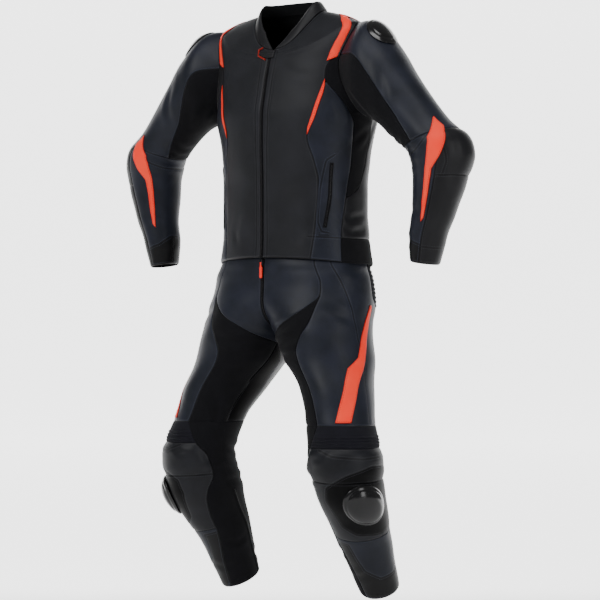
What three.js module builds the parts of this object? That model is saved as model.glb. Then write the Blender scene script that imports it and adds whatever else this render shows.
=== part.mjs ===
// A two-piece motorcycle race suit, jacket over trousers, filled out as if worn.
// Millimetres. Z is up, the front faces -Y and the wearer's left is +X.
// The origin is the middle of the neck base, level with the shoulders.
import * as THREE from 'three';

// Driving sizes
const WALL = 2.4;
const SEAM = 0.3;
const LIFT = 0.6;
const TRIM_LIFT = 0.9;
const APPLIQUE = 1.1;
const ZIP_TAB_THICKNESS = 1.6;
const POCKET_ZIP_THICKNESS = 2;
const NECK_ROW = 2;
const COLLAR_TOP_ROW = 25;
const HEM_ROW = -590;
const HEM_BAND_ROW = -533;
const YOKE_ROW = -103.8;
const YOKE_TOP_ROW = -18;
const SIDE_TOP_ROW = -170.2;
const STRETCH_TIP_ROW = -436;
const STRETCH_POINT_ROW = -380;
const WAIST_ROW = -572;
const CROTCH_ROW = -775;
const KNEE_BAND_ROW = -962;
const KNEE_PAD_ROW = -1012;
const KNEE_PATCH_ROW = -1085;
const SHIN_ROW = -1205;
const LEG_HEM_ROW = -1347;
const ZIP_HALF = 3.6;
const ROUNDNESS = 2.3;

// Armhole: an ellipse in the side view, in rows of the torso
const ARMHOLE = { row: -137, half_height: 107, y: -6, half_depth: 68 };
const ARMHOLE_EASE = 0.5;
const ARMHOLE_STEPS = 10;

// Colours as the light shows them
const COLOURS = {
  leather: '#26272b',
  side_leather: '#2f323a',
  stretch: '#131317',
  red: '#ff4a2e',
  hard: '#0c0c0e',
  metal: '#3a3a3e',
};

function table(names, rows) {
  const columns = names.split(' ');
  return rows.map((row) => Object.fromEntries(columns.map((name, index) => [name, row[index]])));
}

// Torso rings: half width, Y of the widest point, front and back depth from there, and how far
// the ring dips to the middle of the front and rises to the middle of the back
const TORSO_RINGS = table('row half_width mid front back front_dip back_rise', [
  [-590, 196, 0, 139, 121, -14, -12],
  [-560, 191, 0, 137, 117, -11, -9],
  [-533, 187, 0, 136, 114, -7, -6],
  [-476, 183, 0, 136, 112, -3, -2],
  [-408, 182, 0, 136, 113, 0, 0],
  [-345, 187, 0, 138, 120, 0, 0],
  [-290, 197, 0, 139, 127, 0, 0],
  [-244, 207, 0, 138, 134, 0, 0],
  [-190, 206, -5, 124, 136, 3, 0],
  [-137, 203, -12, 108, 136, 14, 0],
  [-100, 201, -18, 96, 130, 30, 0],
  [-60, 199, -25, 84, 120, 52, 0],
  [-42, 196, -27, 79, 112, 64, 0],
  [-30, 188, -27, 78, 100, 72, 0],
  [-24, 177, -24, 79, 88, 76, 0],
  [-18, 163, -21, 80, 78, 79, 0],
  [-11, 143, -19, 79, 68, 83, 2],
  [-4, 118, -17, 79, 60, 87, 4],
  [2, 92, -16, 78, 52, 90, 6],
]);

// The collar stands on the neck seam
const COLLAR_RINGS = table('row half_width mid front back front_dip back_rise', [
  [2, 92, -16, 78, 52, 90, 6],
  [12, 84, -19, 68, 49, 86, 6],
  [25, 78, -22, 58, 45, 84, 5],
]);

// Sleeve rings, from the armhole (station 0, taken from the torso) to the cuff: the outer and
// inner end of each ring in the front view, the middle's Y and the half depth front to back
const SLEEVE_RINGS = table('outer_x outer_z inner_x inner_z y half_depth', [
  [188, -30, 207, -244, -6, 68],
  [243, -33, 226, -250, -22, 84],
  [298, -82, 258, -264, -28, 79],
  [348, -150, 280, -279, -30, 71],
  [394, -208, 302, -298, -30, 64],
  [440, -262, 330, -320, -26, 64],
  [484, -300, 350, -342, -22, 69],
  [497, -338, 357, -362, -20, 69],
  [494, -375, 361, -384, -20, 65],
  [480, -425, 362, -425, -22, 59],
  [458, -484, 360, -484, -27, 50],
  [439, -530, 353, -535, -28, 45],
  [420, -595, 356, -585, -29, 38],
]);

// Leg rings: middle, half width, front and back half depth, outward turn of the knee in
// degrees, lean of the ring in degrees (front lower) and roundness of the section
const LEG_RINGS = table('row x y half_width front back turn lean power', [
  [-572, 0, -3, 187.5, 127, 112, 0, 0, 2.3],
  [-590, 4, -6, 186, 127, 114, 0, 0, 2.3],
  [-610, 15, -12, 185, 122, 120, 0, 0, 2.2],
  [-647, 45, -17, 164, 120, 130, 2, 0, 2.1],
  [-690, 75, -26, 140, 122, 134, 6, 0, 2.05],
  [-733, 100, -36, 118, 120, 124, 10, 0, 2],
  [-765, 112, -42, 112, 116, 118, 12, 0, 2],
  [-808, 128, -45, 106, 112, 112, 15, 0, 2],
  [-877, 163, -62, 84, 104, 104, 20, 0, 2],
  [-952, 193, -88, 79, 86, 86, 22, 0, 2],
  [-1031, 214, -103, 83, 84, 84, 25, 0, 2],
  [-1113, 216, -83, 79, 92, 90, 25, 8, 2],
  [-1171, 214, -51, 70, 78, 78, 25, 16, 2],
  [-1228, 208, -16, 62, 64, 64, 22, 22, 2],
  [-1293, 208, 17, 53, 54, 54, 18, 25, 2],
  [-1347, 208, 45, 46, 49, 49, 15, 26, 2],
]);

// Seams of the torso, in degrees from the middle of the front, for the left side
const PRINCESS_SEAM = table('row angle', [
  [-590, 36.5], [-497, 43], [-402, 46], [-350, 41], [-296, 34], [-230, 39], [-163, 45],
  [-130, 46], [-109, 50], [-61, 59], [-40, 66], [-30, 71], [-18, 84], [-11, 90], [2, 90],
]);
const STRETCH_FRONT_SEAM = table('row angle', [
  [-590, 65], [-523, 67.5], [-436, 74], [-351, 78.8], [-272, 75.5], [-237, 68], [-203, 58],
  [-167, 46.5], [-150, 44],
]);
const STRETCH_BACK_SEAM = table('row angle', [
  [-436, 77], [-415, 89], [-351, 97], [-300, 99], [-262, 96], [-244, 90],
]);

// Seams of the sleeve, in degrees from the outer line towards the front, by station
const SLEEVE_FRONT_SEAM = table('row angle', [
  [0, 108], [2, 116], [4, 124], [5, 138], [5.6, 150],
]);
const SLEEVE_BACK_SEAM = table('row angle', [
  [0, 252], [3, 245], [5.6, 225],
]);
const FOREARM_FRONT_SEAM = table('row angle', [
  [5.6, 62], [7, 66], [8.4, 70], [12, 76],
]);
const FOREARM_BACK_SEAM = table('row angle', [
  [5.6, -72], [8.4, -78], [12, -80],
]);
const ELBOW_TOP = 5.6;
const ELBOW_END = 8.4;
const CUFF_STATION = 12;

// Seams of the leg, in degrees from the outer line towards the front
const FLY_PANEL_SEAM = table('row angle', [
  [-572, 50], [-626, 50], [-645, 52], [-664, 55.6], [-690, 72], [-712, 92], [-733, 118], [-757, 148],
  [-775, 179.8],
]);
const THIGH_INNER_SEAM = table('row angle', [
  [-664, 54.9], [-722, 75], [-762, 95], [-800, 110], [-870, 118], [-962, 118],
]);
const HIP_FRONT_SEAM = table('row angle', [[-572, -12], [-664, -12], [-705, -34]]);
const HIP_BACK_SEAM = table('row angle', [[-572, -58], [-664, -58], [-705, -36]]);
const SIDE_SEAM = table('row angle', [[-705, -35], [-962, -40]]);
const KNEE_OUTER_SEAM = table('row angle', [
  [-962, -40], [-1085, -38], [-1205, -30], [-1347, -30],
]);
const KNEE_INNER_SEAM = table('row angle', [
  [-962, 118], [-1085, 128], [-1205, 120], [-1347, 112],
]);
const HIP_STRETCH_END = -705;

// A smooth curve through one column of a table, whose first column rises or falls steadily
function at(rows, column, value) {
  const rising = rows[rows.length - 1].row > rows[0].row;
  const list = rising ? rows : [...rows].reverse();
  const last = list.length - 1;
  const clamped = Math.min(Math.max(value, list[0].row), list[last].row);
  let index = 0;
  while (index < last - 1 && clamped > list[index + 1].row) index += 1;
  const slope = (first, second) =>
    (list[second][column] - list[first][column]) / (list[second].row - list[first].row);
  const here = slope(index, index + 1);
  const before = index > 0 ? slope(index - 1, index) : here;
  const after = index + 2 <= last ? slope(index + 1, index + 2) : here;
  const soften = (one, two) => (one * two > 0 ? (2 * one * two) / (one + two) : 0);
  const start = index > 0 ? soften(before, here) : here;
  const end = index + 2 <= last ? soften(here, after) : here;
  const span = list[index + 1].row - list[index].row;
  const t = (clamped - list[index].row) / span;
  const from = list[index][column];
  const to = list[index + 1][column];
  return (2 * t ** 3 - 3 * t ** 2 + 1) * from + (t ** 3 - 2 * t ** 2 + t) * span * start
    + (-2 * t ** 3 + 3 * t ** 2) * to + (t ** 3 - t ** 2) * span * end;
}

const radians = (degrees) => (degrees * Math.PI) / 180;
const degrees = (angle) => (angle * 180) / Math.PI;
const signedPower = (value, power) => Math.sign(value) * Math.abs(value) ** power;

// A ring of the torso or collar: 0 degrees is the middle of the front, 90 the wearer's left
function ringPoint(rings, angle, row) {
  const turn = radians(angle);
  const power = 2 / ROUNDNESS;
  const depth = Math.cos(turn) > 0 ? at(rings, 'front', row) : at(rings, 'back', row);
  const x = at(rings, 'half_width', row) * signedPower(Math.sin(turn), power);
  const share = signedPower(Math.cos(turn), power);
  const bend = share > 0 ? -at(rings, 'front_dip', row) : at(rings, 'back_rise', row);
  return new THREE.Vector3(x, at(rings, 'mid', row) - depth * share, row + bend * share ** 2);
}
const TORSO = {
  point: (angle, row) => ringPoint(TORSO_RINGS, angle, row),
  centre: (row) => new THREE.Vector3(0, 0, row - 30),
  step: 0.5,
};
const COLLAR = {
  point: (angle, row) => ringPoint(COLLAR_RINGS, angle, row),
  centre: (row) => new THREE.Vector3(0, 0, row),
  step: 0.5,
};

// Where the armhole crosses a row, in degrees, on the front (+1) or the back (-1); the hole in
// the torso is a little larger than the ring that the sleeve starts from
function armholeAngle(row, side, ease = ARMHOLE_EASE) {
  const rise = (row - ARMHOLE.row) / (ARMHOLE.half_height + ease);
  const reach = (ARMHOLE.half_depth + ease) * Math.sqrt(Math.max(0, 1 - rise * rise));
  const offset = ARMHOLE.y - side * reach - at(TORSO_RINGS, 'mid', row);
  const depth = offset < 0 ? at(TORSO_RINGS, 'front', row) : at(TORSO_RINGS, 'back', row);
  return degrees(Math.acos(signedPower(-offset / depth, ROUNDNESS / 2)));
}

// A ring of the sleeve: 0 degrees is the outer line, 90 the front, 180 the inner line
function sleeveRing(station, angle) {
  const turn = radians(angle);
  if (station === 0) {
    const row = ARMHOLE.row + ARMHOLE.half_height * Math.cos(turn);
    const side = Math.sin(turn) >= 0 ? 1 : -1;
    return TORSO.point(armholeAngle(row, side, 0), row);
  }
  const ring = SLEEVE_RINGS[station];
  const middle = new THREE.Vector3((ring.outer_x + ring.inner_x) / 2, ring.y, (ring.outer_z + ring.inner_z) / 2);
  const across = new THREE.Vector3((ring.outer_x - ring.inner_x) / 2, 0, (ring.outer_z - ring.inner_z) / 2);
  const front = new THREE.Vector3(0, -ring.half_depth, 0);
  return middle.addScaledVector(across, Math.cos(turn)).addScaledVector(front, Math.sin(turn));
}
function sleevePoint(angle, row) {
  const last = SLEEVE_RINGS.length - 1;
  const low = Math.min(Math.max(Math.floor(row), 0), last - 1);
  const keys = [low - 1, low, low + 1, low + 2].map((key) => Math.min(Math.max(key, 0), last));
  const points = keys.map((key) => sleeveRing(key, angle));
  const t = row - low;
  const weights = [
    -0.5 * t ** 3 + t ** 2 - 0.5 * t,
    1.5 * t ** 3 - 2.5 * t ** 2 + 1,
    -1.5 * t ** 3 + 2 * t ** 2 + 0.5 * t,
    0.5 * t ** 3 - 0.5 * t ** 2,
  ];
  const result = new THREE.Vector3();
  points.forEach((point, index) => result.addScaledVector(point, weights[index]));
  return result;
}
const SLEEVE = {
  point: sleevePoint,
  centre: (row) => sleevePoint(0, row).add(sleevePoint(180, row)).multiplyScalar(0.5),
  step: 0.02,
};

// A ring of the left leg: 0 degrees is the outer line, 90 the front, 180 the inner line
function legPoint(angle, row) {
  const turn = radians(angle);
  const power = 2 / at(LEG_RINGS, 'power', row);
  const front = Math.sin(turn) > 0 ? at(LEG_RINGS, 'front', row) : at(LEG_RINGS, 'back', row);
  const across = at(LEG_RINGS, 'half_width', row) * signedPower(Math.cos(turn), power);
  const forward = front * signedPower(Math.sin(turn), power);
  const outward = radians(at(LEG_RINGS, 'turn', row));
  const lean = radians(at(LEG_RINGS, 'lean', row));
  const level = forward * Math.cos(lean);
  return new THREE.Vector3(
    at(LEG_RINGS, 'x', row) + across * Math.cos(outward) + level * Math.sin(outward),
    at(LEG_RINGS, 'y', row) + across * Math.sin(outward) - level * Math.cos(outward),
    row - forward * Math.sin(lean),
  );
}
const LEG = {
  point: legPoint,
  centre: (row) => new THREE.Vector3(Math.max(at(LEG_RINGS, 'x', row), 40), at(LEG_RINGS, 'y', row), row),
  step: 0.5,
};

// The angle at which the leg's ring comes to a distance from the middle plane, on the
// front (+1) or the back (-1); 180 where the ring stays clear of it
function middleAngle(row, side, distance) {
  if (legPoint(side * 179.9, row).x > distance) return side * (180 - 0.2);
  let low = 60;
  let high = 180;
  for (let step = 0; step < 40; step += 1) {
    const middle = (low + high) / 2;
    if (legPoint(side * middle, row).x > distance) low = middle;
    else high = middle;
  }
  return side * low;
}

function normalAt(surface, angle, row) {
  const across = surface.point(angle + 0.4, row).sub(surface.point(angle - 0.4, row));
  const along = surface.point(angle, row + surface.step).sub(surface.point(angle, row - surface.step));
  const normal = across.cross(along).normalize();
  const outward = surface.point(angle, row).sub(surface.centre(row));
  return normal.dot(outward) < 0 ? normal.negate() : normal;
}
const sizePerDegree = (surface, angle, row) =>
  surface.point(angle + 0.5, row).distanceTo(surface.point(angle - 0.5, row));
const sizePerRow = (surface, angle, row) =>
  surface.point(angle, row + surface.step).distanceTo(surface.point(angle, row - surface.step))
  / (2 * surface.step);

// A closed solid between two grids of points of the same size
function closedSolid(outer, inner, rowCount, columnCount) {
  const positions = [];
  [...outer, ...inner].forEach((point) => positions.push(point.x, point.y, point.z));
  const base = outer.length;
  const index = [];
  const quad = (a, b, c, d) => index.push(a, b, c, a, c, d);
  const cell = (row, column) => row * columnCount + column;
  for (let row = 0; row < rowCount - 1; row += 1) {
    for (let column = 0; column < columnCount - 1; column += 1) {
      const a = cell(row, column);
      const b = cell(row, column + 1);
      const c = cell(row + 1, column + 1);
      const d = cell(row + 1, column);
      quad(a, b, c, d);
      quad(base + a, base + d, base + c, base + b);
    }
  }
  for (let row = 0; row < rowCount - 1; row += 1) {
    const first = [cell(row, 0), cell(row + 1, 0)];
    const last = [cell(row, columnCount - 1), cell(row + 1, columnCount - 1)];
    quad(first[0], first[1], base + first[1], base + first[0]);
    quad(last[1], last[0], base + last[0], base + last[1]);
  }
  for (let column = 0; column < columnCount - 1; column += 1) {
    const first = [cell(0, column), cell(0, column + 1)];
    const last = [cell(rowCount - 1, column), cell(rowCount - 1, column + 1)];
    quad(first[1], first[0], base + first[0], base + first[1]);
    quad(last[0], last[1], base + last[1], base + last[0]);
  }
  return facingOut(positions, index);
}

// Geometry from points and triangles, with the triangles turned to face outwards
function facingOut(positions, index) {
  let volume = 0;
  const corner = (number) => new THREE.Vector3().fromArray(positions, 3 * number);
  for (let i = 0; i < index.length; i += 3) {
    const [a, b, c] = [corner(index[i]), corner(index[i + 1]), corner(index[i + 2])];
    volume += a.dot(b.cross(c));
  }
  if (volume < 0) {
    for (let i = 0; i < index.length; i += 3) [index[i + 1], index[i + 2]] = [index[i + 2], index[i + 1]];
  }
  const geometry = new THREE.BufferGeometry();
  geometry.setAttribute('position', new THREE.Float32BufferAttribute(positions, 3));
  geometry.setIndex(index);
  geometry.computeVertexNormals();
  return geometry;
}

// A wall panel over a list of rows. Each row is a list of stretches from one angle to another,
// each cut into columns; the panel stops half a seam short of its first and last angle
function panelOfStretches(surface, rows, stretches, relief = () => 0) {
  const middleRow = rows[Math.floor(rows.length / 2)];
  const trim = (0.6 * SEAM) / sizePerRow(surface, stretches(middleRow)[0][0], middleRow);
  const direction = Math.sign(rows[rows.length - 1] - rows[0]);
  const outer = [];
  const inner = [];
  let columnCount = 0;
  rows.forEach((plainRow, number) => {
    let row = plainRow;
    if (number === 0) row += direction * trim;
    if (number === rows.length - 1) row -= direction * trim;
    const list = stretches(row);
    const low = list[0][0];
    const high = list[list.length - 1][1];
    const start = low + SEAM / 2 / sizePerDegree(surface, low, row);
    const end = Math.max(high - SEAM / 2 / sizePerDegree(surface, high, row), start + 0.15);
    const angles = list.flatMap(([from, to, columns], part) =>
      Array.from({ length: columns + (part === 0 ? 1 : 0) }, (_, step) =>
        from + ((to - from) * (step + (part === 0 ? 0 : 1))) / columns));
    angles[0] = start;
    angles[angles.length - 1] = end;
    columnCount = angles.length;
    angles.forEach((angle, column) => {
      const point = surface.point(angle, row);
      const normal = normalAt(surface, angle, row);
      const raise = relief(column / (columnCount - 1), number / (rows.length - 1), row);
      outer.push(point.clone().addScaledVector(normal, raise));
      inner.push(point.addScaledVector(normal, -WALL));
    });
  });
  return closedSolid(outer, inner, rows.length, columnCount);
}
const panel = (surface, rows, low, high, columns, relief) =>
  panelOfStretches(surface, rows, (row) => [[low(row), Math.max(high(row), low(row) + 0.3), columns]], relief);

// A piece that lies on a surface: each section runs from one point of the surface to another,
// and the sections between those of the table are evenly spaced
function applique(surface, sections, columns, thickness, { lift = LIFT, between = 1 } = {}) {
  const steps = Array.from({ length: (sections.length - 1) * between + 1 }, (_, step) => step / between);
  const mixed = steps.map((step) => {
    const first = sections[Math.min(Math.floor(step), sections.length - 2)];
    const second = sections[sections.indexOf(first) + 1];
    const share = step - sections.indexOf(first);
    return Object.fromEntries(Object.keys(first).map((key) => [key, first[key] + (second[key] - first[key]) * share]));
  });
  const outer = [];
  const inner = [];
  mixed.forEach((section) => {
    for (let column = 0; column <= columns; column += 1) {
      const across = column / columns;
      const angle = section.angle + (section.to_angle - section.angle) * across;
      const row = section.row + (section.to_row - section.row) * across;
      const point = surface.point(angle, row);
      const normal = normalAt(surface, angle, row);
      outer.push(point.clone().addScaledVector(normal, lift + thickness));
      inner.push(point.addScaledVector(normal, lift));
    }
  });
  return closedSolid(outer, inner, mixed.length, columns + 1);
}

// A domed oval piece on a surface: rings of points round its middle, over a plain underside
function dome(surface, shape) {
  const { angle, row, half_width, half_height, edge, crown, rings, sides, tilt = 0 } = shape;
  const perDegree = sizePerDegree(surface, angle, row);
  const perRow = sizePerRow(surface, angle, row);
  const positions = [];
  const place = (radius, turn, height) => {
    const slant = radians(tilt);
    const x = radius * half_width * Math.cos(turn);
    const y = radius * half_height * Math.sin(turn);
    const a = angle + (x * Math.cos(slant) - y * Math.sin(slant)) / perDegree;
    const r = row + (x * Math.sin(slant) + y * Math.cos(slant)) / perRow;
    const point = surface.point(a, r).addScaledVector(normalAt(surface, a, r), height);
    positions.push(point.x, point.y, point.z);
  };
  const bottom = shape.lift ?? LIFT;
  const profile = shape.profile ?? ((radius) => 1 - radius ** 2.4);
  place(0, 0, bottom + edge + crown * profile(0));
  for (let ring = 1; ring <= rings; ring += 1) {
    const radius = ring / rings;
    for (let side = 0; side < sides; side += 1) {
      place(radius, (2 * Math.PI * side) / sides, bottom + edge + crown * profile(radius));
    }
  }
  const base = positions.length / 3;
  place(0, 0, bottom);
  for (let ring = 1; ring <= rings; ring += 1) {
    for (let side = 0; side < sides; side += 1) place(ring / rings, (2 * Math.PI * side) / sides, bottom);
  }
  const index = [];
  const number = (ring, side) => 1 + (ring - 1) * sides + (side % sides);
  for (let side = 0; side < sides; side += 1) {
    index.push(0, number(1, side), number(1, side + 1));
    index.push(base, base + number(1, side + 1), base + number(1, side));
    for (let ring = 1; ring < rings; ring += 1) {
      const [a, b] = [number(ring, side), number(ring, side + 1)];
      const [c, d] = [number(ring + 1, side + 1), number(ring + 1, side)];
      index.push(a, d, c, a, c, b);
      index.push(base + a, base + c, base + d, base + a, base + b, base + c);
    }
    const [e, f] = [number(rings, side), number(rings, side + 1)];
    index.push(e, base + e, base + f, e, base + f, f);
  }
  return facingOut(positions, index);
}

const suit = new THREE.Group();
suit.name = 'race_suit';

function add(name, geometry, colour, finish = {}) {
  const { roughness = 0.6, metalness = 0 } = finish;
  const material = new THREE.MeshStandardMaterial({ color: COLOURS[colour], roughness, metalness });
  const mesh = new THREE.Mesh(geometry, material);
  mesh.name = name;
  suit.add(mesh);
}

function mirrored(geometry) {
  const positions = Array.from(geometry.getAttribute('position').array);
  for (let i = 0; i < positions.length; i += 3) positions[i] = -positions[i];
  return facingOut(positions, Array.from(geometry.getIndex().array));
}

function addPair(name, geometry, colour, finish) {
  add(`${name}_left`, geometry, colour, finish);
  add(`${name}_right`, mirrored(geometry), colour, finish);
}

// Rows that the panels of the torso share, from the hem up to the neck seam
const ARMHOLE_ROWS = Array.from({ length: ARMHOLE_STEPS + 1 }, (_, step) =>
  ARMHOLE.row + (ARMHOLE.half_height + ARMHOLE_EASE) * Math.cos(Math.PI * (1 - step / ARMHOLE_STEPS)));
const LOWER_ROWS = [HEM_ROW, -562, HEM_BAND_ROW, -485, STRETCH_TIP_ROW, -395, -351, -310, -272];
const SHOULDER_ROWS = [-24, -18, -11, -4, NECK_ROW];
const TORSO_ROWS = [...LOWER_ROWS, ...ARMHOLE_ROWS, ...SHOULDER_ROWS];
const rowsBetween = (rows, start, end) => rows.filter((row) =>
  row > Math.min(start, end) - 0.1 && row < Math.max(start, end) + 0.1);

const princess = (row) => at(PRINCESS_SEAM, 'angle', row);
const armholeTop = ARMHOLE.row + ARMHOLE.half_height + ARMHOLE_EASE;
const armholeBottom = ARMHOLE.row - ARMHOLE.half_height - ARMHOLE_EASE;
const inArmhole = (row) => row < armholeTop - 0.01 && row > armholeBottom + 0.01;
const zipEdge = (row) => {
  const share = ZIP_HALF / at(TORSO_RINGS, 'half_width', row);
  return degrees(Math.asin(share ** (ROUNDNESS / 2)));
};
const frontOfSide = (row) => {
  if (inArmhole(row)) return armholeAngle(row, 1);
  return row > armholeTop ? 90 : at(STRETCH_BACK_SEAM, 'angle', row);
};
const frontOfBack = (row) => {
  if (inArmhole(row)) return armholeAngle(row, -1);
  if (row > armholeTop) return 90;
  return row >= STRETCH_TIP_ROW ? at(STRETCH_BACK_SEAM, 'angle', row) : at(STRETCH_FRONT_SEAM, 'angle', row);
};

function buildTorso() {
  addPair('front', panel(TORSO, TORSO_ROWS, zipEdge, princess, 4), 'leather');
  const sideRows = rowsBetween(TORSO_ROWS, HEM_ROW, SIDE_TOP_ROW);
  const stretchFront = (row) => Math.max(at(STRETCH_FRONT_SEAM, 'angle', row), princess(row) + 0.6);
  addPair('side_front', panel(TORSO, sideRows, princess, stretchFront, 3), 'side_leather');
  const stretchRows = rowsBetween(TORSO_ROWS, STRETCH_TIP_ROW, YOKE_ROW);
  const stretchLow = (row) => (row < SIDE_TOP_ROW + 0.1 ? stretchFront(row) : princess(row));
  const stretchHigh = (row) => frontOfSide(row) - (row < STRETCH_POINT_ROW ? 0.2 : 0);
  addPair('side_stretch', panel(TORSO, stretchRows, stretchLow, stretchHigh, 3), 'stretch', { roughness: 0.8 });
  const yokeRows = rowsBetween(TORSO_ROWS, YOKE_ROW, YOKE_TOP_ROW);
  addPair('shoulder_front', panel(TORSO, yokeRows, princess, frontOfSide, 3), 'leather');
  const backRows = rowsBetween(TORSO_ROWS, HEM_BAND_ROW, NECK_ROW);
  add('back', panel(TORSO, backRows, frontOfBack, (row) => 360 - frontOfBack(row), 12), 'leather');
  const bandRows = rowsBetween(TORSO_ROWS, HEM_ROW, HEM_BAND_ROW);
  add('hem_band', panel(TORSO, bandRows, frontOfBack, (row) => 360 - frontOfBack(row), 12), 'stretch',
    { roughness: 0.8 });
}

function buildCollar() {
  const height = COLLAR_TOP_ROW - NECK_ROW;
  const open = (row) => zipEdge(NECK_ROW) + 24 * ((row - NECK_ROW) / height) ** 1.3;
  const rows = [NECK_ROW, 7, 12, 18, COLLAR_TOP_ROW];
  const stretches = (row) => [[open(row), 90, 4], [90, 270, 12], [270, 360 - open(row), 4]];
  add('collar', panelOfStretches(COLLAR, rows, stretches), 'leather');
}

function buildFrontZip() {
  const rows = [...TORSO_ROWS].slice(0, -1);
  add('front_zip', panel(TORSO, rows, (row) => -zipEdge(row), zipEdge, 2), 'metal');
}

const ELBOW_SEAM = 0.006;
function buildSleeves() {
  const upperRows = [0, 0.4, 0.9, 1.5, 2.2, 2.9, 3.6, 4.3, 5, ELBOW_TOP - ELBOW_SEAM];
  const elbowRows = [ELBOW_TOP + ELBOW_SEAM, 6.1, 6.7, 7.3, 7.9, ELBOW_END];
  const front = (row) => at(SLEEVE_FRONT_SEAM, 'angle', row);
  const back = (row) => at(SLEEVE_BACK_SEAM, 'angle', row);
  addPair('sleeve_outer', panel(SLEEVE, upperRows, (row) => back(row) - 360, front, 12), 'side_leather');
  addPair('sleeve_stretch', panel(SLEEVE, upperRows, front, back, 8), 'stretch', { roughness: 0.8 });
  const outerFront = (row) => at(FOREARM_FRONT_SEAM, 'angle', row);
  const outerBack = (row) => at(FOREARM_BACK_SEAM, 'angle', row);
  const pad = (across, along) =>
    5 * Math.sin(Math.PI * Math.min(across / 0.7, 1)) ** 0.7 * Math.sin(Math.PI * along) ** 0.7;
  addPair('elbow_pad', panel(SLEEVE, elbowRows, outerBack, outerFront, 8, pad), 'leather');
  const forearmRows = [ELBOW_END, 9, 9.7, 10.4, 11.2, CUFF_STATION];
  addPair('forearm_outer', panel(SLEEVE, forearmRows, outerBack, outerFront, 8), 'leather');
  const innerRows = [...elbowRows, ...forearmRows.slice(1)];
  addPair('forearm_inner', panel(SLEEVE, innerRows, outerFront, (row) => outerBack(row) + 360, 8), 'side_leather');
}

const LEG_ROWS = [WAIST_ROW, -590, -612, -638, -664, -684, HIP_STRETCH_END, -721, -738, -757, CROTCH_ROW,
  -808, -845, -882, -920, KNEE_BAND_ROW, -987, KNEE_PAD_ROW, -1036, -1060, KNEE_PATCH_ROW, -1124, -1164,
  SHIN_ROW, -1250, -1298, LEG_HEM_ROW];
const legRows = (start, end) => rowsBetween(LEG_ROWS, start, end).sort((one, two) => two - one);
const INNER_TIP_ROW = -664;
const KNEE_RIBS = { start: -984, pitch: 7, count: 4, height: 2.2 };
const HIP_RIBS = { start: -594, pitch: 10, count: 10, height: 1.8 };
const HIP_EASE = 0.35;
const KNEE_PADDING = 6;

// Rows at the foot and the top of each rib, between two end rows
function ribRows(first, last, ribs) {
  const rows = Array.from({ length: 2 * ribs.count + 1 }, (_, step) => ribs.start - (step * ribs.pitch) / 2);
  return [first, ...rows.filter((row) => row < first - 0.5 && row > last + 0.5), last];
}
// The height of the ribs at a row, fading out at both seams
function ribHeight(ribs, row, across) {
  const turns = (ribs.start - row) / ribs.pitch;
  if (turns < 0 || turns > ribs.count) return 0;
  return ribs.height * (0.5 - 0.5 * Math.cos(2 * Math.PI * turns)) * Math.sin(Math.PI * across) ** 0.4;
}
const flyHalf = (row) => {
  const share = Math.min(Math.max((-721 - row) / 17, 0), 1);
  return ZIP_HALF + (0.2 - ZIP_HALF) * share;
};
const flySeam = (row) => Math.min(at(FLY_PANEL_SEAM, 'angle', row), middleAngle(row, 1, SEAM) - 0.2);
const innerSeam = (row) => (row > INNER_TIP_ROW + 0.5 ? flySeam(row) : at(THIGH_INNER_SEAM, 'angle', row));
// A seam that runs straight from one shared row to the next
function straightBetweenRows(seam, row) {
  const below = LEG_ROWS.findIndex((value) => value <= row);
  if (below <= 0) return seam(row);
  const [top, bottom] = [LEG_ROWS[below - 1], LEG_ROWS[below]];
  return seam(bottom) + ((seam(top) - seam(bottom)) * (row - bottom)) / (top - bottom);
}
const hipFrontSeam = (row) => at(row > HIP_STRETCH_END - 0.5 ? HIP_FRONT_SEAM : SIDE_SEAM, 'angle', row);
const hipBackSeam = (row) => at(row > HIP_STRETCH_END - 0.5 ? HIP_BACK_SEAM : SIDE_SEAM, 'angle', row);
const hipFront = (row) => straightBetweenRows(hipFrontSeam, row);
const hipBack = (row) => straightBetweenRows(hipBackSeam, row);
const kneeOuter = (row) => at(KNEE_OUTER_SEAM, 'angle', row);
const kneeInner = (row) => at(KNEE_INNER_SEAM, 'angle', row);

function buildHips() {
  const flyEdge = (row) => middleAngle(row, 1, flyHalf(row) + SEAM / 2);
  addPair('fly_panel', panel(LEG, legRows(WAIST_ROW, CROTCH_ROW), flySeam, flyEdge, 4), 'leather');
  const stretchHigh = (row) => (row > CROTCH_ROW - 0.5 ? flySeam(row) : middleAngle(row, 1, SEAM / 2));
  addPair('inner_stretch', panel(LEG, legRows(INNER_TIP_ROW, KNEE_BAND_ROW), innerSeam, stretchHigh, 3),
    'stretch', { roughness: 0.8 });
  addPair('thigh_front', panel(LEG, legRows(WAIST_ROW, KNEE_BAND_ROW), hipFront, innerSeam, 8), 'side_leather');
  const hipRows = ribRows(WAIST_ROW, HIP_STRETCH_END, HIP_RIBS);
  const hipRelief = (across, along, row) => ribHeight(HIP_RIBS, row, across);
  addPair('hip_stretch', panel(LEG, hipRows, (row) => hipBack(row) + HIP_EASE, (row) => hipFront(row) - HIP_EASE, 3,
    hipRelief), 'stretch', { roughness: 0.8 });
  const seatEdge = (row) => middleAngle(row, -1, SEAM / 2 + 0.01);
  addPair('seat', panel(LEG, legRows(WAIST_ROW, KNEE_BAND_ROW), seatEdge, hipBack, 6), 'leather');
}

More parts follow.
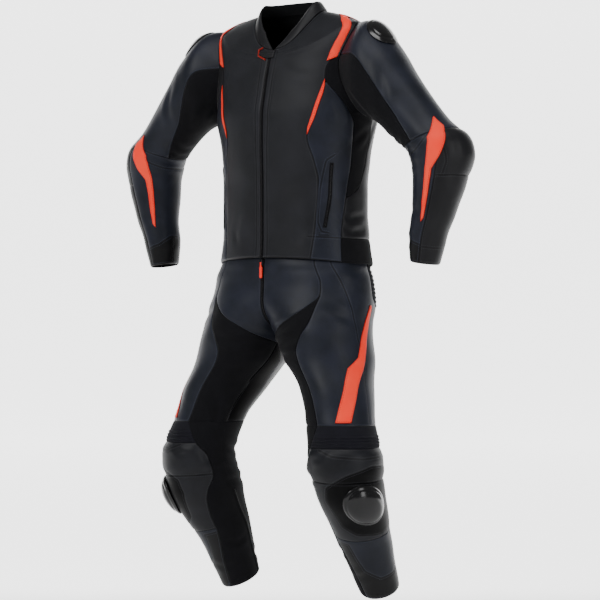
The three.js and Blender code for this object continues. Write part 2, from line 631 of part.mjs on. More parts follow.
function buildLowerLegs() {
  const bandRows = ribRows(KNEE_BAND_ROW, KNEE_PAD_ROW, KNEE_RIBS);
  const bandRelief = (across, along, row) => ribHeight(KNEE_RIBS, row, across);
  addPair('knee_band', panel(LEG, bandRows, kneeOuter, kneeInner, 8, bandRelief), 'stretch', { roughness: 0.8 });
  const padding = (across, along) =>
    KNEE_PADDING * Math.sin(Math.PI * across) ** 0.6 * Math.sin(Math.PI * along) ** 0.6;
  addPair('knee_pad', panel(LEG, legRows(KNEE_PAD_ROW, KNEE_PATCH_ROW), kneeOuter, kneeInner, 8, padding), 'leather');
  addPair('knee_patch', panel(LEG, legRows(KNEE_PATCH_ROW, SHIN_ROW), kneeOuter, kneeInner, 8), 'stretch');
  addPair('shin', panel(LEG, legRows(SHIN_ROW, LEG_HEM_ROW), kneeOuter, kneeInner, 8), 'leather');
  const calf = (row) => [[kneeInner(row), 180, 3], [180, kneeOuter(row) + 360, 6]];
  addPair('calf', panelOfStretches(LEG, legRows(KNEE_BAND_ROW, LEG_HEM_ROW), calf), 'stretch', { roughness: 0.8 });
}

// Red strips sewn on the shoulders: sections across the strip, from the chest over to the back
const SHOULDER_STRIPE = table('row angle to_row to_angle', [
  [-110, 46.4, -104, 57], [-82, 50, -80, 63], [-59, 55, -57, 70], [-40, 62, -42, 77], [-20, 75, -28, 84],
  [-9, 90, -16, 90], [-11, 104, -20, 99], [-24, 125, -31, 115], [-44, 133, -50, 124], [-70, 137, -74, 129],
]);
const CHEST_STRIPE_ROWS = [-160, -178, -197, -216, -236, -256, -276, -293];
const CHEST_STRIPE_WIDTH = 10;

function buildTorsoTrim() {
  addPair('shoulder_stripe', applique(TORSO, SHOULDER_STRIPE, 2, APPLIQUE, { lift: TRIM_LIFT, between: 3 }), 'red');
  const chest = CHEST_STRIPE_ROWS.map((row, number) => {
    const taper = Math.min(1, 0.12 + 0.6 * Math.min(number, CHEST_STRIPE_ROWS.length - 1 - number));
    const half = (CHEST_STRIPE_WIDTH * taper) / 2 / sizePerDegree(TORSO, princess(row), row);
    return { row, to_row: row, angle: princess(row) - half, to_angle: princess(row) + half };
  });
  addPair('chest_stripe', applique(TORSO, chest, 1, APPLIQUE), 'red');
  const pocket = POCKET_ROWS.map((row) => {
    const middle = at(POCKET_LINE, 'angle', row);
    const half = POCKET_ZIP_WIDTH / 2 / sizePerDegree(TORSO, middle, row);
    return { row, to_row: row, angle: middle - half, to_angle: middle + half };
  });
  addPair('pocket_zip', applique(TORSO, pocket, 2, POCKET_ZIP_THICKNESS), 'metal');
  add('zip_tab', applique(TORSO, ZIP_TAB, 3, ZIP_TAB_THICKNESS, { lift: 1, between: 2 }), 'leather');
}

// Pocket zips: a slanting line on the side front
const POCKET_LINE = table('row angle', [[-512, 51], [-430, 57], [-356, 58]]);
const POCKET_ROWS = [-510, -485, -460, -435, -410, -385, -358];
const POCKET_ZIP_WIDTH = 9;

// The pointed tab that covers the top of the front zip, on the wearer's right
const ZIP_TAB = table('row angle to_row to_angle', [
  [-3, -6, -3, 3.4], [-11, -8.5, -11, 3.2], [-22, -9.8, -20, 2.6], [-38, -6, -36, 2.4], [-54, -2.2, -54, 2.2],
]);

// Red strip on the outer front of the forearm: sections by station
const SLEEVE_STRIPE = table('row angle to_row to_angle', [
  [4.95, 32, 4.9, 27], [5.4, 52, 5.45, 26], [5.85, 72, 5.8, 36], [6.45, 81, 6.45, 47], [7.2, 87, 7.2, 60],
  [7.97, 91, 8.05, 76], [8.7, 92, 8.8, 78], [9.5, 91, 9.4, 78], [10.3, 86, 10.1, 79],
]);
// The wearer's right forearm is turned further in than the left
const RIGHT_STRIPE_TURN = 34;
const SHOULDER_CAP = {
  angle: 5, row: 1.5, half_width: 42, half_height: 46, edge: 2.4, crown: 6, rings: 3, sides: 16, lift: 0.9,
};

function buildSleeveTrim() {
  const shape = { lift: TRIM_LIFT, between: 2 };
  const turned = SLEEVE_STRIPE.map((section) => ({
    ...section,
    angle: section.angle + RIGHT_STRIPE_TURN,
    to_angle: section.to_angle + RIGHT_STRIPE_TURN,
  }));
  add('sleeve_stripe_left', applique(SLEEVE, SLEEVE_STRIPE, 2, APPLIQUE, shape), 'red');
  add('sleeve_stripe_right', mirrored(applique(SLEEVE, turned, 2, APPLIQUE, shape)), 'red');
  addPair('shoulder_cap', dome(SLEEVE, SHOULDER_CAP), 'hard', { roughness: 0.15 });
}

// Red strip on the outer front of the thigh
const THIGH_STRIPE = table('row angle to_row to_angle', [
  [-686, -4, -689, -8], [-735, 9, -735, -1], [-780, 21, -780, 9], [-808, 30, -808, 17],
  [-832, 48, -838, 24], [-880, 61, -880, 37], [-915, 72, -915, 46], [-955, 84, -955, 57],
]);
const KNEE_SLIDER = {
  angle: 53, row: -1129, half_width: 54, half_height: 54, edge: 5, crown: 12, rings: 4, sides: 20, lift: 0.8,
};

// Fly zip: a strip between the two fly panels, and its slider with a tab that swings on it
const FLY = {
  point: (share, row) => {
    const x = share * flyHalf(row);
    const side = legPoint(middleAngle(row, 1, Math.max(Math.abs(x), 0.3)), row);
    return new THREE.Vector3(x, side.y, side.z);
  },
  centre: (row) => new THREE.Vector3(0, -20, row),
  step: 0.5,
};
const FLY_ROWS = [WAIST_ROW, -590, -612, -638, -664, -684, HIP_STRETCH_END, -721, -731];
const SLIDER = { top: -581, length: 13, width: 9.4, depth: 4.6, lug: 3.2, channel: 4.4 };
const PULL = { row: -588, length: 36, width: 7, neck: 3.8, neck_length: 9, thickness: 2, above: 1 };
const SLIDER_BACK = FLY.point(0, -594).y - 0.4;
const PIVOT_Y = SLIDER_BACK - SLIDER.depth - 1.7;

function buildFly() {
  add('fly_zip', panel(FLY, FLY_ROWS, () => -1, () => 1, 2), 'metal');
  const [half, slot] = [SLIDER.width / 2, SLIDER.channel / 2];
  const outline = new THREE.Shape([
    [-half, 0], [half, 0], [half, SLIDER.depth + SLIDER.lug], [slot, SLIDER.depth + SLIDER.lug],
    [slot, SLIDER.depth], [-slot, SLIDER.depth], [-slot, SLIDER.depth + SLIDER.lug],
    [-half, SLIDER.depth + SLIDER.lug],
  ].map(([x, y]) => new THREE.Vector2(x, -y)));
  const slider = new THREE.ExtrudeGeometry(outline, { depth: SLIDER.length, bevelEnabled: false });
  slider.translate(0, SLIDER_BACK, SLIDER.top - SLIDER.length);
  add('fly_slider', slider, 'metal', { roughness: 0.4, metalness: 0.8 });
  const [neck, wide] = [PULL.neck / 2, PULL.width / 2];
  const tab = new THREE.Shape([
    [-neck, PULL.above], [-neck, -PULL.neck_length], [-wide, -PULL.neck_length - 2], [-wide, 2 - PULL.length],
    [2 - wide, -PULL.length], [wide - 2, -PULL.length], [wide, 2 - PULL.length],
    [wide, -PULL.neck_length - 2], [neck, -PULL.neck_length], [neck, PULL.above],
  ].map(([x, y]) => new THREE.Vector2(x, y)));
  const pull = new THREE.ExtrudeGeometry(tab, { depth: PULL.thickness, bevelEnabled: false });
  pull.rotateX(Math.PI / 2);
  pull.translate(0, PIVOT_Y + PULL.thickness / 2, PULL.row);
  add('fly_pull', pull, 'red');
}

function buildLegTrim() {
  addPair('thigh_stripe', applique(LEG, THIGH_STRIPE, 3, APPLIQUE, { lift: 0.95, between: 2 }), 'red');
  addPair('knee_slider', dome(LEG, KNEE_SLIDER), 'hard', { roughness: 0.15 });
}

buildTorso();
buildCollar();
buildFrontZip();
buildTorsoTrim();
buildSleeves();
buildSleeveTrim();
buildHips();
buildLowerLegs();
buildLegTrim();
buildFly();

export default suit;
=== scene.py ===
import math

import bmesh
import bpy
import numpy as np
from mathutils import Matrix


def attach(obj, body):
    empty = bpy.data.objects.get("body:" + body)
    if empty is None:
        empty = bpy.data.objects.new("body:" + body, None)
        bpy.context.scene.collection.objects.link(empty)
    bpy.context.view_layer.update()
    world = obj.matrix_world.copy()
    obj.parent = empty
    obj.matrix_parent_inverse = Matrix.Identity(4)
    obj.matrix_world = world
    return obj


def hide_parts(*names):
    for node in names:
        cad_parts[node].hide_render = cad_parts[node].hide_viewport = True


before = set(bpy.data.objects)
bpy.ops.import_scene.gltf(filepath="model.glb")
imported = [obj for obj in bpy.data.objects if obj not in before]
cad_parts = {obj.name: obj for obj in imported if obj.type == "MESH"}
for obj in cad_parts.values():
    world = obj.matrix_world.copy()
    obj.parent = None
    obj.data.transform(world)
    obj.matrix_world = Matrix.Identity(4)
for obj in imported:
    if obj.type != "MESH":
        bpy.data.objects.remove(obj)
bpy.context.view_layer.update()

MM = 0.001
WALL = 2.2
SEAM = 0.3
ZIP_HALF = 3.6
ROUNDNESS = 2.3
GRID = 5.0
LOOK = math.radians(37.5)
CAMERA_DISTANCE = 6.3
CAMERA_AIM = (0.0047, 0.0036, -0.675)
CAMERA_LENS = 159.5
LIGHT_AIM = (0, 0, -0.7)
LIGHTS = [
    # name, place, size and watts
    ("key", (-0.6, -5.0, 2.6), (2.6, 2.6), 165),
    ("side", (5.4, -1.2, 0.6), (1.6, 3.4), 85),
    ("top", (1.2, -1.6, 3.4), (2.6, 1.2), 80),
]
PAPER_GLOW = 2.6
ROOM_LIGHT = 0.3
HIDE_SHINE = 0.2
STITCH_INSET_MM = 3.4
STITCH_MM = 4.0
HOLE_PITCH_MM = 4.5
WEAVE_MM = 1.6


# Camera and lights


def link_object(name, data):
    made = bpy.data.objects.new(name, data)
    bpy.context.collection.objects.link(made)
    return made


def make_camera():
    """A long lens, level with the middle of the suit, turned to the wearer's left."""
    data = bpy.data.cameras.new("camera")
    data.sensor_width = 36
    data.lens = CAMERA_LENS
    data.clip_end = 200
    camera = link_object("camera", data)
    x, y, z = CAMERA_AIM
    camera.location = (x + CAMERA_DISTANCE * math.sin(LOOK), y - CAMERA_DISTANCE * math.cos(LOOK), z)
    camera.rotation_euler = (math.radians(90), 0, LOOK)
    bpy.context.scene.camera = camera


def add_light(name, place, size, watts):
    """A soft box that faces the middle of the suit."""
    data = bpy.data.lights.new(name, "AREA")
    data.shape = "RECTANGLE"
    data.size, data.size_y = size
    data.energy = watts
    light = link_object(name, data)
    light.location = place
    away = np.array(place) - np.array(LIGHT_AIM)
    flat = math.hypot(away[0], away[1])
    light.rotation_euler = (math.atan2(flat, away[2]), 0, math.atan2(away[0], -away[1]))


# Node materials


def linear(colour):
    """An sRGB hex colour as linear red, green, blue and alpha."""
    channels = [int(colour[start : start + 2], 16) / 255 for start in (1, 3, 5)]
    return (*[c / 12.92 if c <= 0.04045 else ((c + 0.055) / 1.055) ** 2.4 for c in channels], 1)


def new_material(name):
    material = bpy.data.materials.new(name)
    material.use_nodes = True
    material.node_tree.nodes.clear()
    return material, material.node_tree


def node(tree, kind, settings=None, inputs=None):
    """Adds one node; an input is a value or a socket to link from."""
    made = tree.nodes.new("ShaderNode" + kind)
    for name, value in (settings or {}).items():
        setattr(made, name, value)
    for key, value in (inputs or {}).items():
        if isinstance(value, bpy.types.NodeSocket):
            tree.links.new(value, made.inputs[key])
        else:
            made.inputs[key].default_value = value
    return made


def finish_material(tree, shader_inputs):
    shader = node(tree, "BsdfPrincipled", None, shader_inputs)
    node(tree, "OutputMaterial", None, {"Surface": shader.outputs["BSDF"]})


def seam_distance(tree):
    """Millimetres to the nearest seam, whether it is the panel's border or a line across it."""
    edge = node(tree, "Attribute", {"attribute_name": "edge"}).outputs["Fac"]
    line = node(tree, "Attribute", {"attribute_name": "line"}).outputs["Fac"]
    across = node(tree, "Math", {"operation": "ABSOLUTE"}, {0: line}).outputs[0]
    return edge, across, node(tree, "Math", {"operation": "MINIMUM"}, {0: edge, 1: across}).outputs[0]


def stitch_mask(tree):
    """One row of lockstitch beside each seam, 3.4 mm in from it, 4 mm a stitch."""
    edge, across, _ = seam_distance(tree)
    rows = []
    for distance, name in ((edge, "run"), (across, "line_run")):
        run = node(tree, "Attribute", {"attribute_name": name}).outputs["Fac"]
        off = node(
            tree, "Math", {"operation": "SUBTRACT"}, {0: distance, 1: STITCH_INSET_MM}
        ).outputs[0]
        near = node(tree, "Math", {"operation": "ABSOLUTE"}, {0: off}).outputs[0]
        band = node(tree, "Math", {"operation": "LESS_THAN"}, {0: near, 1: 0.5}).outputs[0]
        turns = node(tree, "Math", {"operation": "DIVIDE"}, {0: run, 1: STITCH_MM}).outputs[0]
        part = node(tree, "Math", {"operation": "FRACT"}, {0: turns}).outputs[0]
        dash = node(tree, "Math", {"operation": "LESS_THAN"}, {0: part, 1: 0.68}).outputs[0]
        rows.append(node(tree, "Math", {"operation": "MULTIPLY"}, {0: band, 1: dash}).outputs[0])
    return node(tree, "Math", {"operation": "MAXIMUM"}, {0: rows[0], 1: rows[1]}).outputs[0]


# gap is the colour of the painted shade in the seams
def leather(name, dark, light, thread, roughness, gap="#020203", holes=False, zone=None,
            zone_shine=HIDE_SHINE):
    """Cowhide, pigment-coated and embossed: a fine pebble of about 1.7 mm that breaks the light
    into a soft satin, slightly shinier where the hide is stretched over a seam. Shade is painted
    into the seams: within 1.8 mm of each seam the colour darkens towards the gap colour."""
    material, tree = new_material(name)
    place = node(tree, "TexCoord").outputs["Object"]
    pebble = node(
        tree, "TexVoronoi", {"feature": "SMOOTH_F1"}, {"Vector": place, "Scale": 1000 / 1.7,
                                                       "Smoothness": 0.4}
    ).outputs["Distance"]
    fine = node(
        tree, "TexNoise", None, {"Vector": place, "Scale": 1000 / 0.9, "Detail": 2}
    ).outputs["Fac"]
    cloud = node(
        tree, "TexNoise", None, {"Vector": place, "Scale": 1000 / 60, "Detail": 3}
    ).outputs["Fac"]
    mottle = node(
        tree, "MapRange", None, {"Value": cloud, "From Min": 0.35, "From Max": 0.65}
    ).outputs["Result"]
    colour = node(
        tree, "Mix", {"data_type": "RGBA"}, {0: mottle, 6: linear(dark), 7: linear(light)}
    ).outputs[2]
    shine = HIDE_SHINE
    if zone:
        border = node(tree, "Attribute", {"attribute_name": "zone"}).outputs["Fac"]
        beyond = node(tree, "Math", {"operation": "GREATER_THAN"}, {0: border, 1: 0.0}).outputs[0]
        colour = node(
            tree, "Mix", {"data_type": "RGBA"}, {0: beyond, 6: colour, 7: linear(zone)}
        ).outputs[2]
        shine = node(
            tree, "MapRange", None, {"Value": beyond, "To Min": HIDE_SHINE, "To Max": zone_shine}
        ).outputs["Result"]
    edge, _, seam = seam_distance(tree)
    # Painted shade: the colour darkens towards the gap colour within 1.8 mm of every seam and sewn line
    seam_shade = node(
        tree, "MapRange", None, {"Value": seam, "From Min": 1.8, "From Max": 0.3, "To Max": 0.85}
    ).outputs["Result"]
    colour = node(
        tree, "Mix", {"data_type": "RGBA"}, {0: seam_shade, 6: colour, 7: linear(gap)}
    ).outputs[2]
    stitches = stitch_mask(tree)
    colour = node(
        tree, "Mix", {"data_type": "RGBA"}, {0: stitches, 6: colour, 7: linear(thread)}
    ).outputs[2]
    height = node(
        tree, "Math", {"operation": "MULTIPLY_ADD"}, {0: fine, 1: 0.5, 2: pebble}
    ).outputs[0]
    height = node(tree, "Math", {"operation": "ADD"}, {0: height, 1: stitches}).outputs[0]
    if holes:
        # Punched cooling holes, really 1 mm wide and 4 mm apart, drawn 1.5 mm wide and 4.5 mm
        # apart so that they show
        sheet = node(tree, "TexCoord").outputs["UV"]
        step = node(
            tree, "VectorMath", {"operation": "SCALE"}, {0: sheet, "Scale": 1000 / HOLE_PITCH_MM}
        ).outputs[0]
        cell = node(tree, "VectorMath", {"operation": "FRACTION"}, {0: step}).outputs[0]
        middle = node(
            tree, "VectorMath", {"operation": "SUBTRACT"}, {0: cell, 1: (0.5, 0.5, 0)}
        ).outputs[0]
        radius = node(tree, "VectorMath", {"operation": "LENGTH"}, {0: middle}).outputs["Value"]
        hole = node(tree, "Math", {"operation": "LESS_THAN"}, {0: radius, 1: 0.17}).outputs[0]
        inner = node(tree, "Math", {"operation": "GREATER_THAN"}, {0: edge, 1: 12.0}).outputs[0]
        hole = node(tree, "Math", {"operation": "MULTIPLY"}, {0: hole, 1: inner}).outputs[0]
        colour = node(
            tree, "Mix", {"data_type": "RGBA"}, {0: hole, 6: colour, 7: linear("#060607")}
        ).outputs[2]
        height = node(tree, "Math", {"operation": "SUBTRACT"}, {0: height, 1: hole}).outputs[0]
    bump = node(
        tree, "Bump", None, {"Height": height, "Distance": 0.0002, "Strength": 0.4}
    ).outputs["Normal"]
    rough = node(
        tree, "MapRange", None, {"Value": cloud, "To Min": roughness - 0.05, "To Max": roughness + 0.07}
    ).outputs["Result"]
    finish_material(
        tree, {"Base Color": colour, "Roughness": rough, "Normal": bump, "Specular IOR Level": shine}
    )
    return material


def stretch_fabric(name, colour, light):
    """Woven stretch nylon with a plain weave of about 1 mm, drawn at 1.6 mm so that it shows:
    it takes light flatly, with a faint fuzz at glancing angles."""
    material, tree = new_material(name)
    sheet = node(tree, "TexCoord").outputs["UV"]
    threads = {"Vector": sheet, "Scale": 1000 / WEAVE_MM / 6.28}
    across, along = (
        node(tree, "TexWave", {"bands_direction": way, "wave_profile": "SIN"}, threads).outputs["Fac"]
        for way in "XY"
    )
    weave = node(tree, "Math", {"operation": "MULTIPLY"}, {0: across, 1: along}).outputs[0]
    place = node(tree, "TexCoord").outputs["Object"]
    cloud = node(
        tree, "TexNoise", None, {"Vector": place, "Scale": 1000 / 35, "Detail": 3}
    ).outputs["Fac"]
    shade = node(
        tree, "Math", {"operation": "MULTIPLY_ADD"}, {0: weave, 1: 0.5, 2: cloud}
    ).outputs[0]
    base = node(
        tree, "Mix", {"data_type": "RGBA"}, {0: shade, 6: linear(colour), 7: linear(light)}
    ).outputs[2]
    stitches = stitch_mask(tree)
    height = node(tree, "Math", {"operation": "ADD"}, {0: weave, 1: stitches}).outputs[0]
    bump = node(
        tree, "Bump", None, {"Height": height, "Distance": 0.0003, "Strength": 0.5}
    ).outputs["Normal"]
    finish_material(
        tree,
        {
            "Base Color": base,
            "Roughness": 0.86,
            "Normal": bump,
            "Sheen Weight": 0.03,
            "Sheen Roughness": 0.5,
            "Specular IOR Level": 0.12,
        },
    )
    return material


def mesh_lining():
    """Knitted polyester lining mesh: dull dark grey with a 3 mm hole pattern, drawn at 4 mm."""
    material, tree = new_material("mesh_lining")
    sheet = node(tree, "TexCoord").outputs["UV"]
    cells = node(
        tree, "TexVoronoi", None, {"Vector": sheet, "Scale": 1000 / 4, "Randomness": 0.15}
    ).outputs["Distance"]
    colour = node(
        tree,
        "Mix",
        {"data_type": "RGBA"},
        {0: cells, 6: linear("#050506"), 7: linear("#1c1d20")},
    ).outputs[2]
    bump = node(
        tree, "Bump", None, {"Height": cells, "Distance": 0.0004, "Strength": 0.5}
    ).outputs["Normal"]
    finish_material(tree, {"Base Color": colour, "Roughness": 0.9, "Normal": bump,
                           "Specular IOR Level": 0.2})
    return material


def moulded_plastic(name, colour, light, roughness):
    """Injection-moulded thermoplastic urethane: a polished tool leaves it glossy, with faint
    flow marks and fine handling scuffs that only dull it here and there."""
    material, tree = new_material(name)
    place = node(tree, "TexCoord").outputs["Object"]
    flow = node(
        tree, "TexNoise", None, {"Vector": place, "Scale": 1000 / 25, "Detail": 2}
    ).outputs["Fac"]
    scuff = node(
        tree, "TexNoise", None, {"Vector": place, "Scale": 1000 / 2.5, "Detail": 5, "Distortion": 1.5}
    ).outputs["Fac"]
    tint = node(
        tree, "Mix", {"data_type": "RGBA"}, {0: flow, 6: linear(colour), 7: linear(light)}
    ).outputs[2]
    rough = node(
        tree, "MapRange", None, {"Value": scuff, "To Min": roughness, "To Max": roughness + 0.16}
    ).outputs["Result"]
    bump = node(
        tree, "Bump", None, {"Height": flow, "Distance": 0.0004, "Strength": 0.25}
    ).outputs["Normal"]
    finish_material(
        tree,
        {"Base Color": tint, "Roughness": rough, "Normal": bump, "Specular IOR Level": 0.4},
    )
    return material


def zip_teeth():
    """Moulded acetal teeth: dark, smooth and slightly glossy."""
    material, tree = new_material("acetal_teeth")
    place = node(tree, "TexCoord").outputs["Object"]
    grain = node(tree, "TexNoise", None, {"Vector": place, "Scale": 1000 / 2}).outputs["Fac"]
    colour = node(
        tree, "Mix", {"data_type": "RGBA"}, {0: grain, 6: linear("#0c0c0d"), 7: linear("#1c1c1f")}
    ).outputs[2]
    finish_material(tree, {"Base Color": colour, "Roughness": 0.42, "Specular IOR Level": 0.3})
    return material


def coated_zinc():
    """Die-cast zinc slider under a dark lacquer: metal shows through as a grey gleam."""
    material, tree = new_material("lacquered_zinc")
    place = node(tree, "TexCoord").outputs["Object"]
    wear = node(
        tree, "TexNoise", None, {"Vector": place, "Scale": 1000 / 3, "Detail": 4}
    ).outputs["Fac"]
    colour = node(
        tree, "Mix", {"data_type": "RGBA"}, {0: wear, 6: linear("#1b1b1d"), 7: linear("#4a4a4e")}
    ).outputs[2]
    finish_material(tree, {"Base Color": colour, "Roughness": 0.35, "Metallic": 0.8})
    return material


def studio_paper(name, colour, glow):
    """Seamless white paper with painted light: it glows, strongly on the wall and fading to almost
    nothing on the floor before the suit, so that the dark hide keeps its depth."""
    material, tree = new_material(name)
    place = node(tree, "TexCoord").outputs["Object"]
    away = node(
        tree, "VectorMath", {"operation": "DOT_PRODUCT"}, {0: place,
                                                           1: (-math.sin(LOOK), math.cos(LOOK), 0)}
    ).outputs["Value"]
    # Painted light: the emission grows from the floor in front to the wall behind
    painted_glow = node(
        tree, "MapRange", {"interpolation_type": "SMOOTHSTEP"},
        {"Value": away, "From Min": 0.1, "From Max": 1.4, "To Min": 0.03 * glow, "To Max": glow},
    ).outputs["Result"]
    finish_material(
        tree,
        {
            "Base Color": linear(colour),
            "Roughness": 0.9,
            "Specular IOR Level": 0.1,
            "Emission Color": linear(colour),
            "Emission Strength": painted_glow,
        },
    )
    return material


# Smooth tables


def table(names, rows):
    """Named columns from rows of numbers, sorted by the first column."""
    values = np.array(sorted(rows), dtype=float)
    return {name: values[:, number] for number, name in enumerate(names.split())}


def at(rows, column, value):
    """A smooth curve through one column of a table."""
    keys, values = rows["row"], rows[column]
    value = np.clip(value, keys[0], keys[-1])
    slopes = np.diff(values) / np.diff(keys)
    tangents = np.concatenate([slopes[:1], slopes])
    product = slopes[:-1] * slopes[1:]
    total = slopes[:-1] + slopes[1:]
    tangents[1:-1] = np.where(product > 0, 2 * product / np.where(product > 0, total, 1), 0)
    low = np.clip(np.searchsorted(keys, value, side="right") - 1, 0, len(keys) - 2)
    span = keys[low + 1] - keys[low]
    t = (value - keys[low]) / span
    return (
        (2 * t**3 - 3 * t**2 + 1) * values[low]
        + (t**3 - 2 * t**2 + t) * span * tangents[low]
        + (-2 * t**3 + 3 * t**2) * values[low + 1]
        + (t**3 - t**2) * span * tangents[low + 1]
    )


TORSO_RINGS = table("row half_width mid front back front_dip back_rise", [
    (-590, 196, 0, 139, 121, -14, -12),
    (-560, 191, 0, 137, 117, -11, -9),
    (-533, 187, 0, 136, 114, -7, -6),
    (-476, 183, 0, 136, 112, -3, -2),
    (-408, 182, 0, 136, 113, 0, 0),
    (-345, 187, 0, 138, 120, 0, 0),
    (-290, 197, 0, 139, 127, 0, 0),
    (-244, 207, 0, 138, 134, 0, 0),
    (-190, 206, -5, 124, 136, 3, 0),
    (-137, 203, -12, 108, 136, 14, 0),
    (-100, 201, -18, 96, 130, 30, 0),
    (-60, 199, -25, 84, 120, 52, 0),
    (-42, 196, -27, 79, 112, 64, 0),
    (-30, 188, -27, 78, 100, 72, 0),
    (-24, 177, -24, 79, 88, 76, 0),
    (-18, 163, -21, 80, 78, 79, 0),
    (-11, 143, -19, 79, 68, 83, 2),
    (-4, 118, -17, 79, 60, 87, 4),
    (2, 92, -16, 78, 52, 90, 6),
])
COLLAR_RINGS = table("row half_width mid front back front_dip back_rise", [
    (2, 92, -16, 78, 52, 90, 6),
    (12, 84, -19, 68, 49, 86, 6),
    (25, 78, -22, 58, 45, 84, 5),
])
SLEEVE_RINGS = np.array([
    # outer x, outer z, inner x, inner z, middle y, half depth
    (188, -30, 207, -244, -6, 68),
    (243, -33, 226, -250, -22, 84),
    (298, -82, 258, -264, -28, 79),
    (348, -150, 280, -279, -30, 71),
    (394, -208, 302, -298, -30, 64),
    (440, -262, 330, -320, -26, 64),
    (484, -300, 350, -342, -22, 69),
    (497, -338, 357, -362, -20, 69),
    (494, -375, 361, -384, -20, 65),
    (480, -425, 362, -425, -22, 59),
    (458, -484, 360, -484, -27, 50),
    (439, -530, 353, -535, -28, 45),
    (420, -595, 356, -585, -29, 38),
], dtype=float)
LEG_RINGS = table("row x y half_width front back turn lean power", [
    (-572, 0, -3, 187.5, 127, 112, 0, 0, 2.3),
    (-590, 4, -6, 186, 127, 114, 0, 0, 2.3),
    (-610, 15, -12, 185, 122, 120, 0, 0, 2.2),
    (-647, 45, -17, 164, 120, 130, 2, 0, 2.1),
    (-690, 75, -26, 140, 122, 134, 6, 0, 2.05),
    (-733, 100, -36, 118, 120, 124, 10, 0, 2),
    (-765, 112, -42, 112, 116, 118, 12, 0, 2),
    (-808, 128, -45, 106, 112, 112, 15, 0, 2),
    (-877, 163, -62, 84, 104, 104, 20, 0, 2),
    (-952, 193, -88, 79, 86, 86, 22, 0, 2),
    (-1031, 214, -103, 83, 84, 84, 25, 0, 2),
    (-1113, 216, -83, 79, 92, 90, 25, 8, 2),
    (-1171, 214, -51, 70, 78, 78, 25, 16, 2),
    (-1228, 208, -16, 62, 64, 64, 22, 22, 2),
    (-1293, 208, 17, 53, 54, 54, 18, 25, 2),
    (-1347, 208, 45, 46, 49, 49, 15, 26, 2),
])

PRINCESS_SEAM = table("row angle", [
    (-590, 36.5), (-497, 43), (-402, 46), (-350, 41), (-296, 34), (-230, 39), (-163, 45), (-130, 46),
    (-109, 50), (-61, 59), (-40, 66), (-30, 71), (-18, 84), (-11, 90), (2, 90),
])
STRETCH_FRONT_SEAM = table("row angle", [
    (-590, 65), (-523, 67.5), (-436, 74), (-351, 78.8), (-272, 75.5), (-237, 68), (-203, 58),
    (-167, 46.5), (-150, 44),
])
STRETCH_BACK_SEAM = table("row angle", [
    (-436, 77), (-415, 89), (-351, 97), (-300, 99), (-262, 96), (-244, 90),
])
LEFT_SLEEVE_FRONT_SEAM = table("row angle", [
    (0, 70), (1.2, 76), (2, 82), (3.15, 87), (4, 91), (4.69, 98), (5.6, 107),
])
RIGHT_SLEEVE_FRONT_SEAM = table("row angle", [
    (0, 78), (1, 86), (1.6, 98), (2.1, 112), (3, 126), (4, 132), (5.6, 150),
])
SLEEVE_BACK_SEAM = table("row angle", [(0, 252), (3, 245), (5.6, 225)])
FOREARM_FRONT_SEAM = table("row angle", [(5.6, 62), (7, 66), (8.4, 70), (12, 76)])
FOREARM_BACK_SEAM = table("row angle", [(5.6, -72), (8.4, -78), (12, -80)])
FLY_PANEL_SEAM = table("row angle", [
    (-572, 50), (-626, 50), (-645, 52), (-664, 55.6), (-690, 72), (-712, 92), (-733, 118), (-757, 148),
    (-775, 179.8),
])
THIGH_INNER_SEAM = table("row angle", [(-664, 54.9), (-722, 75), (-762, 95), (-800, 110), (-870, 118),
                                       (-962, 118)])
HIP_FRONT_SEAM = table("row angle", [(-572, -12), (-664, -12), (-705, -34)])
HIP_BACK_SEAM = table("row angle", [(-572, -58), (-664, -58), (-705, -36)])
SIDE_SEAM = table("row angle", [(-705, -35), (-962, -40)])
KNEE_OUTER_SEAM = table("row angle", [(-962, -40), (-1085, -38), (-1205, -30), (-1347, -30)])
KNEE_INNER_SEAM = table("row angle", [
    (-962, 118), (-1012, 146), (-1045, 168), (-1085, 174), (-1122, 161), (-1148, 153), (-1205, 143),
    (-1295, 120), (-1347, 112),
])
POCKET_LINE = table("row angle", [(-512, 51), (-430, 57), (-356, 58)])

ARMHOLE_ROW, ARMHOLE_HALF_HEIGHT, ARMHOLE_Y, ARMHOLE_HALF_DEPTH = -137, 107, -6, 68
ARMHOLE_EASE = 0.5
FLY_TAPER_ROW, FLY_TAPER_LENGTH, FLY_TIP_HALF = -721, 17, 0.2


# The forms that the cloth follows


def signed_power(value, power):
    return np.sign(value) * np.abs(value) ** power


def ring_point(rings, angle, row):
    """A ring of the torso or collar: 0 degrees is the middle of the front, 90 the wearer's left."""
    turn = np.radians(angle)
    power = 2 / ROUNDNESS
    depth = np.where(np.cos(turn) > 0, at(rings, "front", row), at(rings, "back", row))
    x = at(rings, "half_width", row) * signed_power(np.sin(turn), power)
    share = signed_power(np.cos(turn), power)
    bend = np.where(share > 0, -at(rings, "front_dip", row), at(rings, "back_rise", row))
    return np.stack([x, at(rings, "mid", row) - depth * share, row + bend * share**2], axis=-1)


def armhole_angle(row, side, ease=ARMHOLE_EASE):
    """Where the armhole crosses a row, in degrees, on the front (+1) or the back (-1)."""
    rise = np.clip((row - ARMHOLE_ROW) / (ARMHOLE_HALF_HEIGHT + ease), -1, 1)
    reach = (ARMHOLE_HALF_DEPTH + ease) * np.sqrt(np.maximum(0, 1 - rise * rise))
    offset = ARMHOLE_Y - side * reach - at(TORSO_RINGS, "mid", row)
    depth = np.where(offset < 0, at(TORSO_RINGS, "front", row), at(TORSO_RINGS, "back", row))
    return np.degrees(np.arccos(signed_power(np.clip(-offset / depth, -1, 1), ROUNDNESS / 2)))


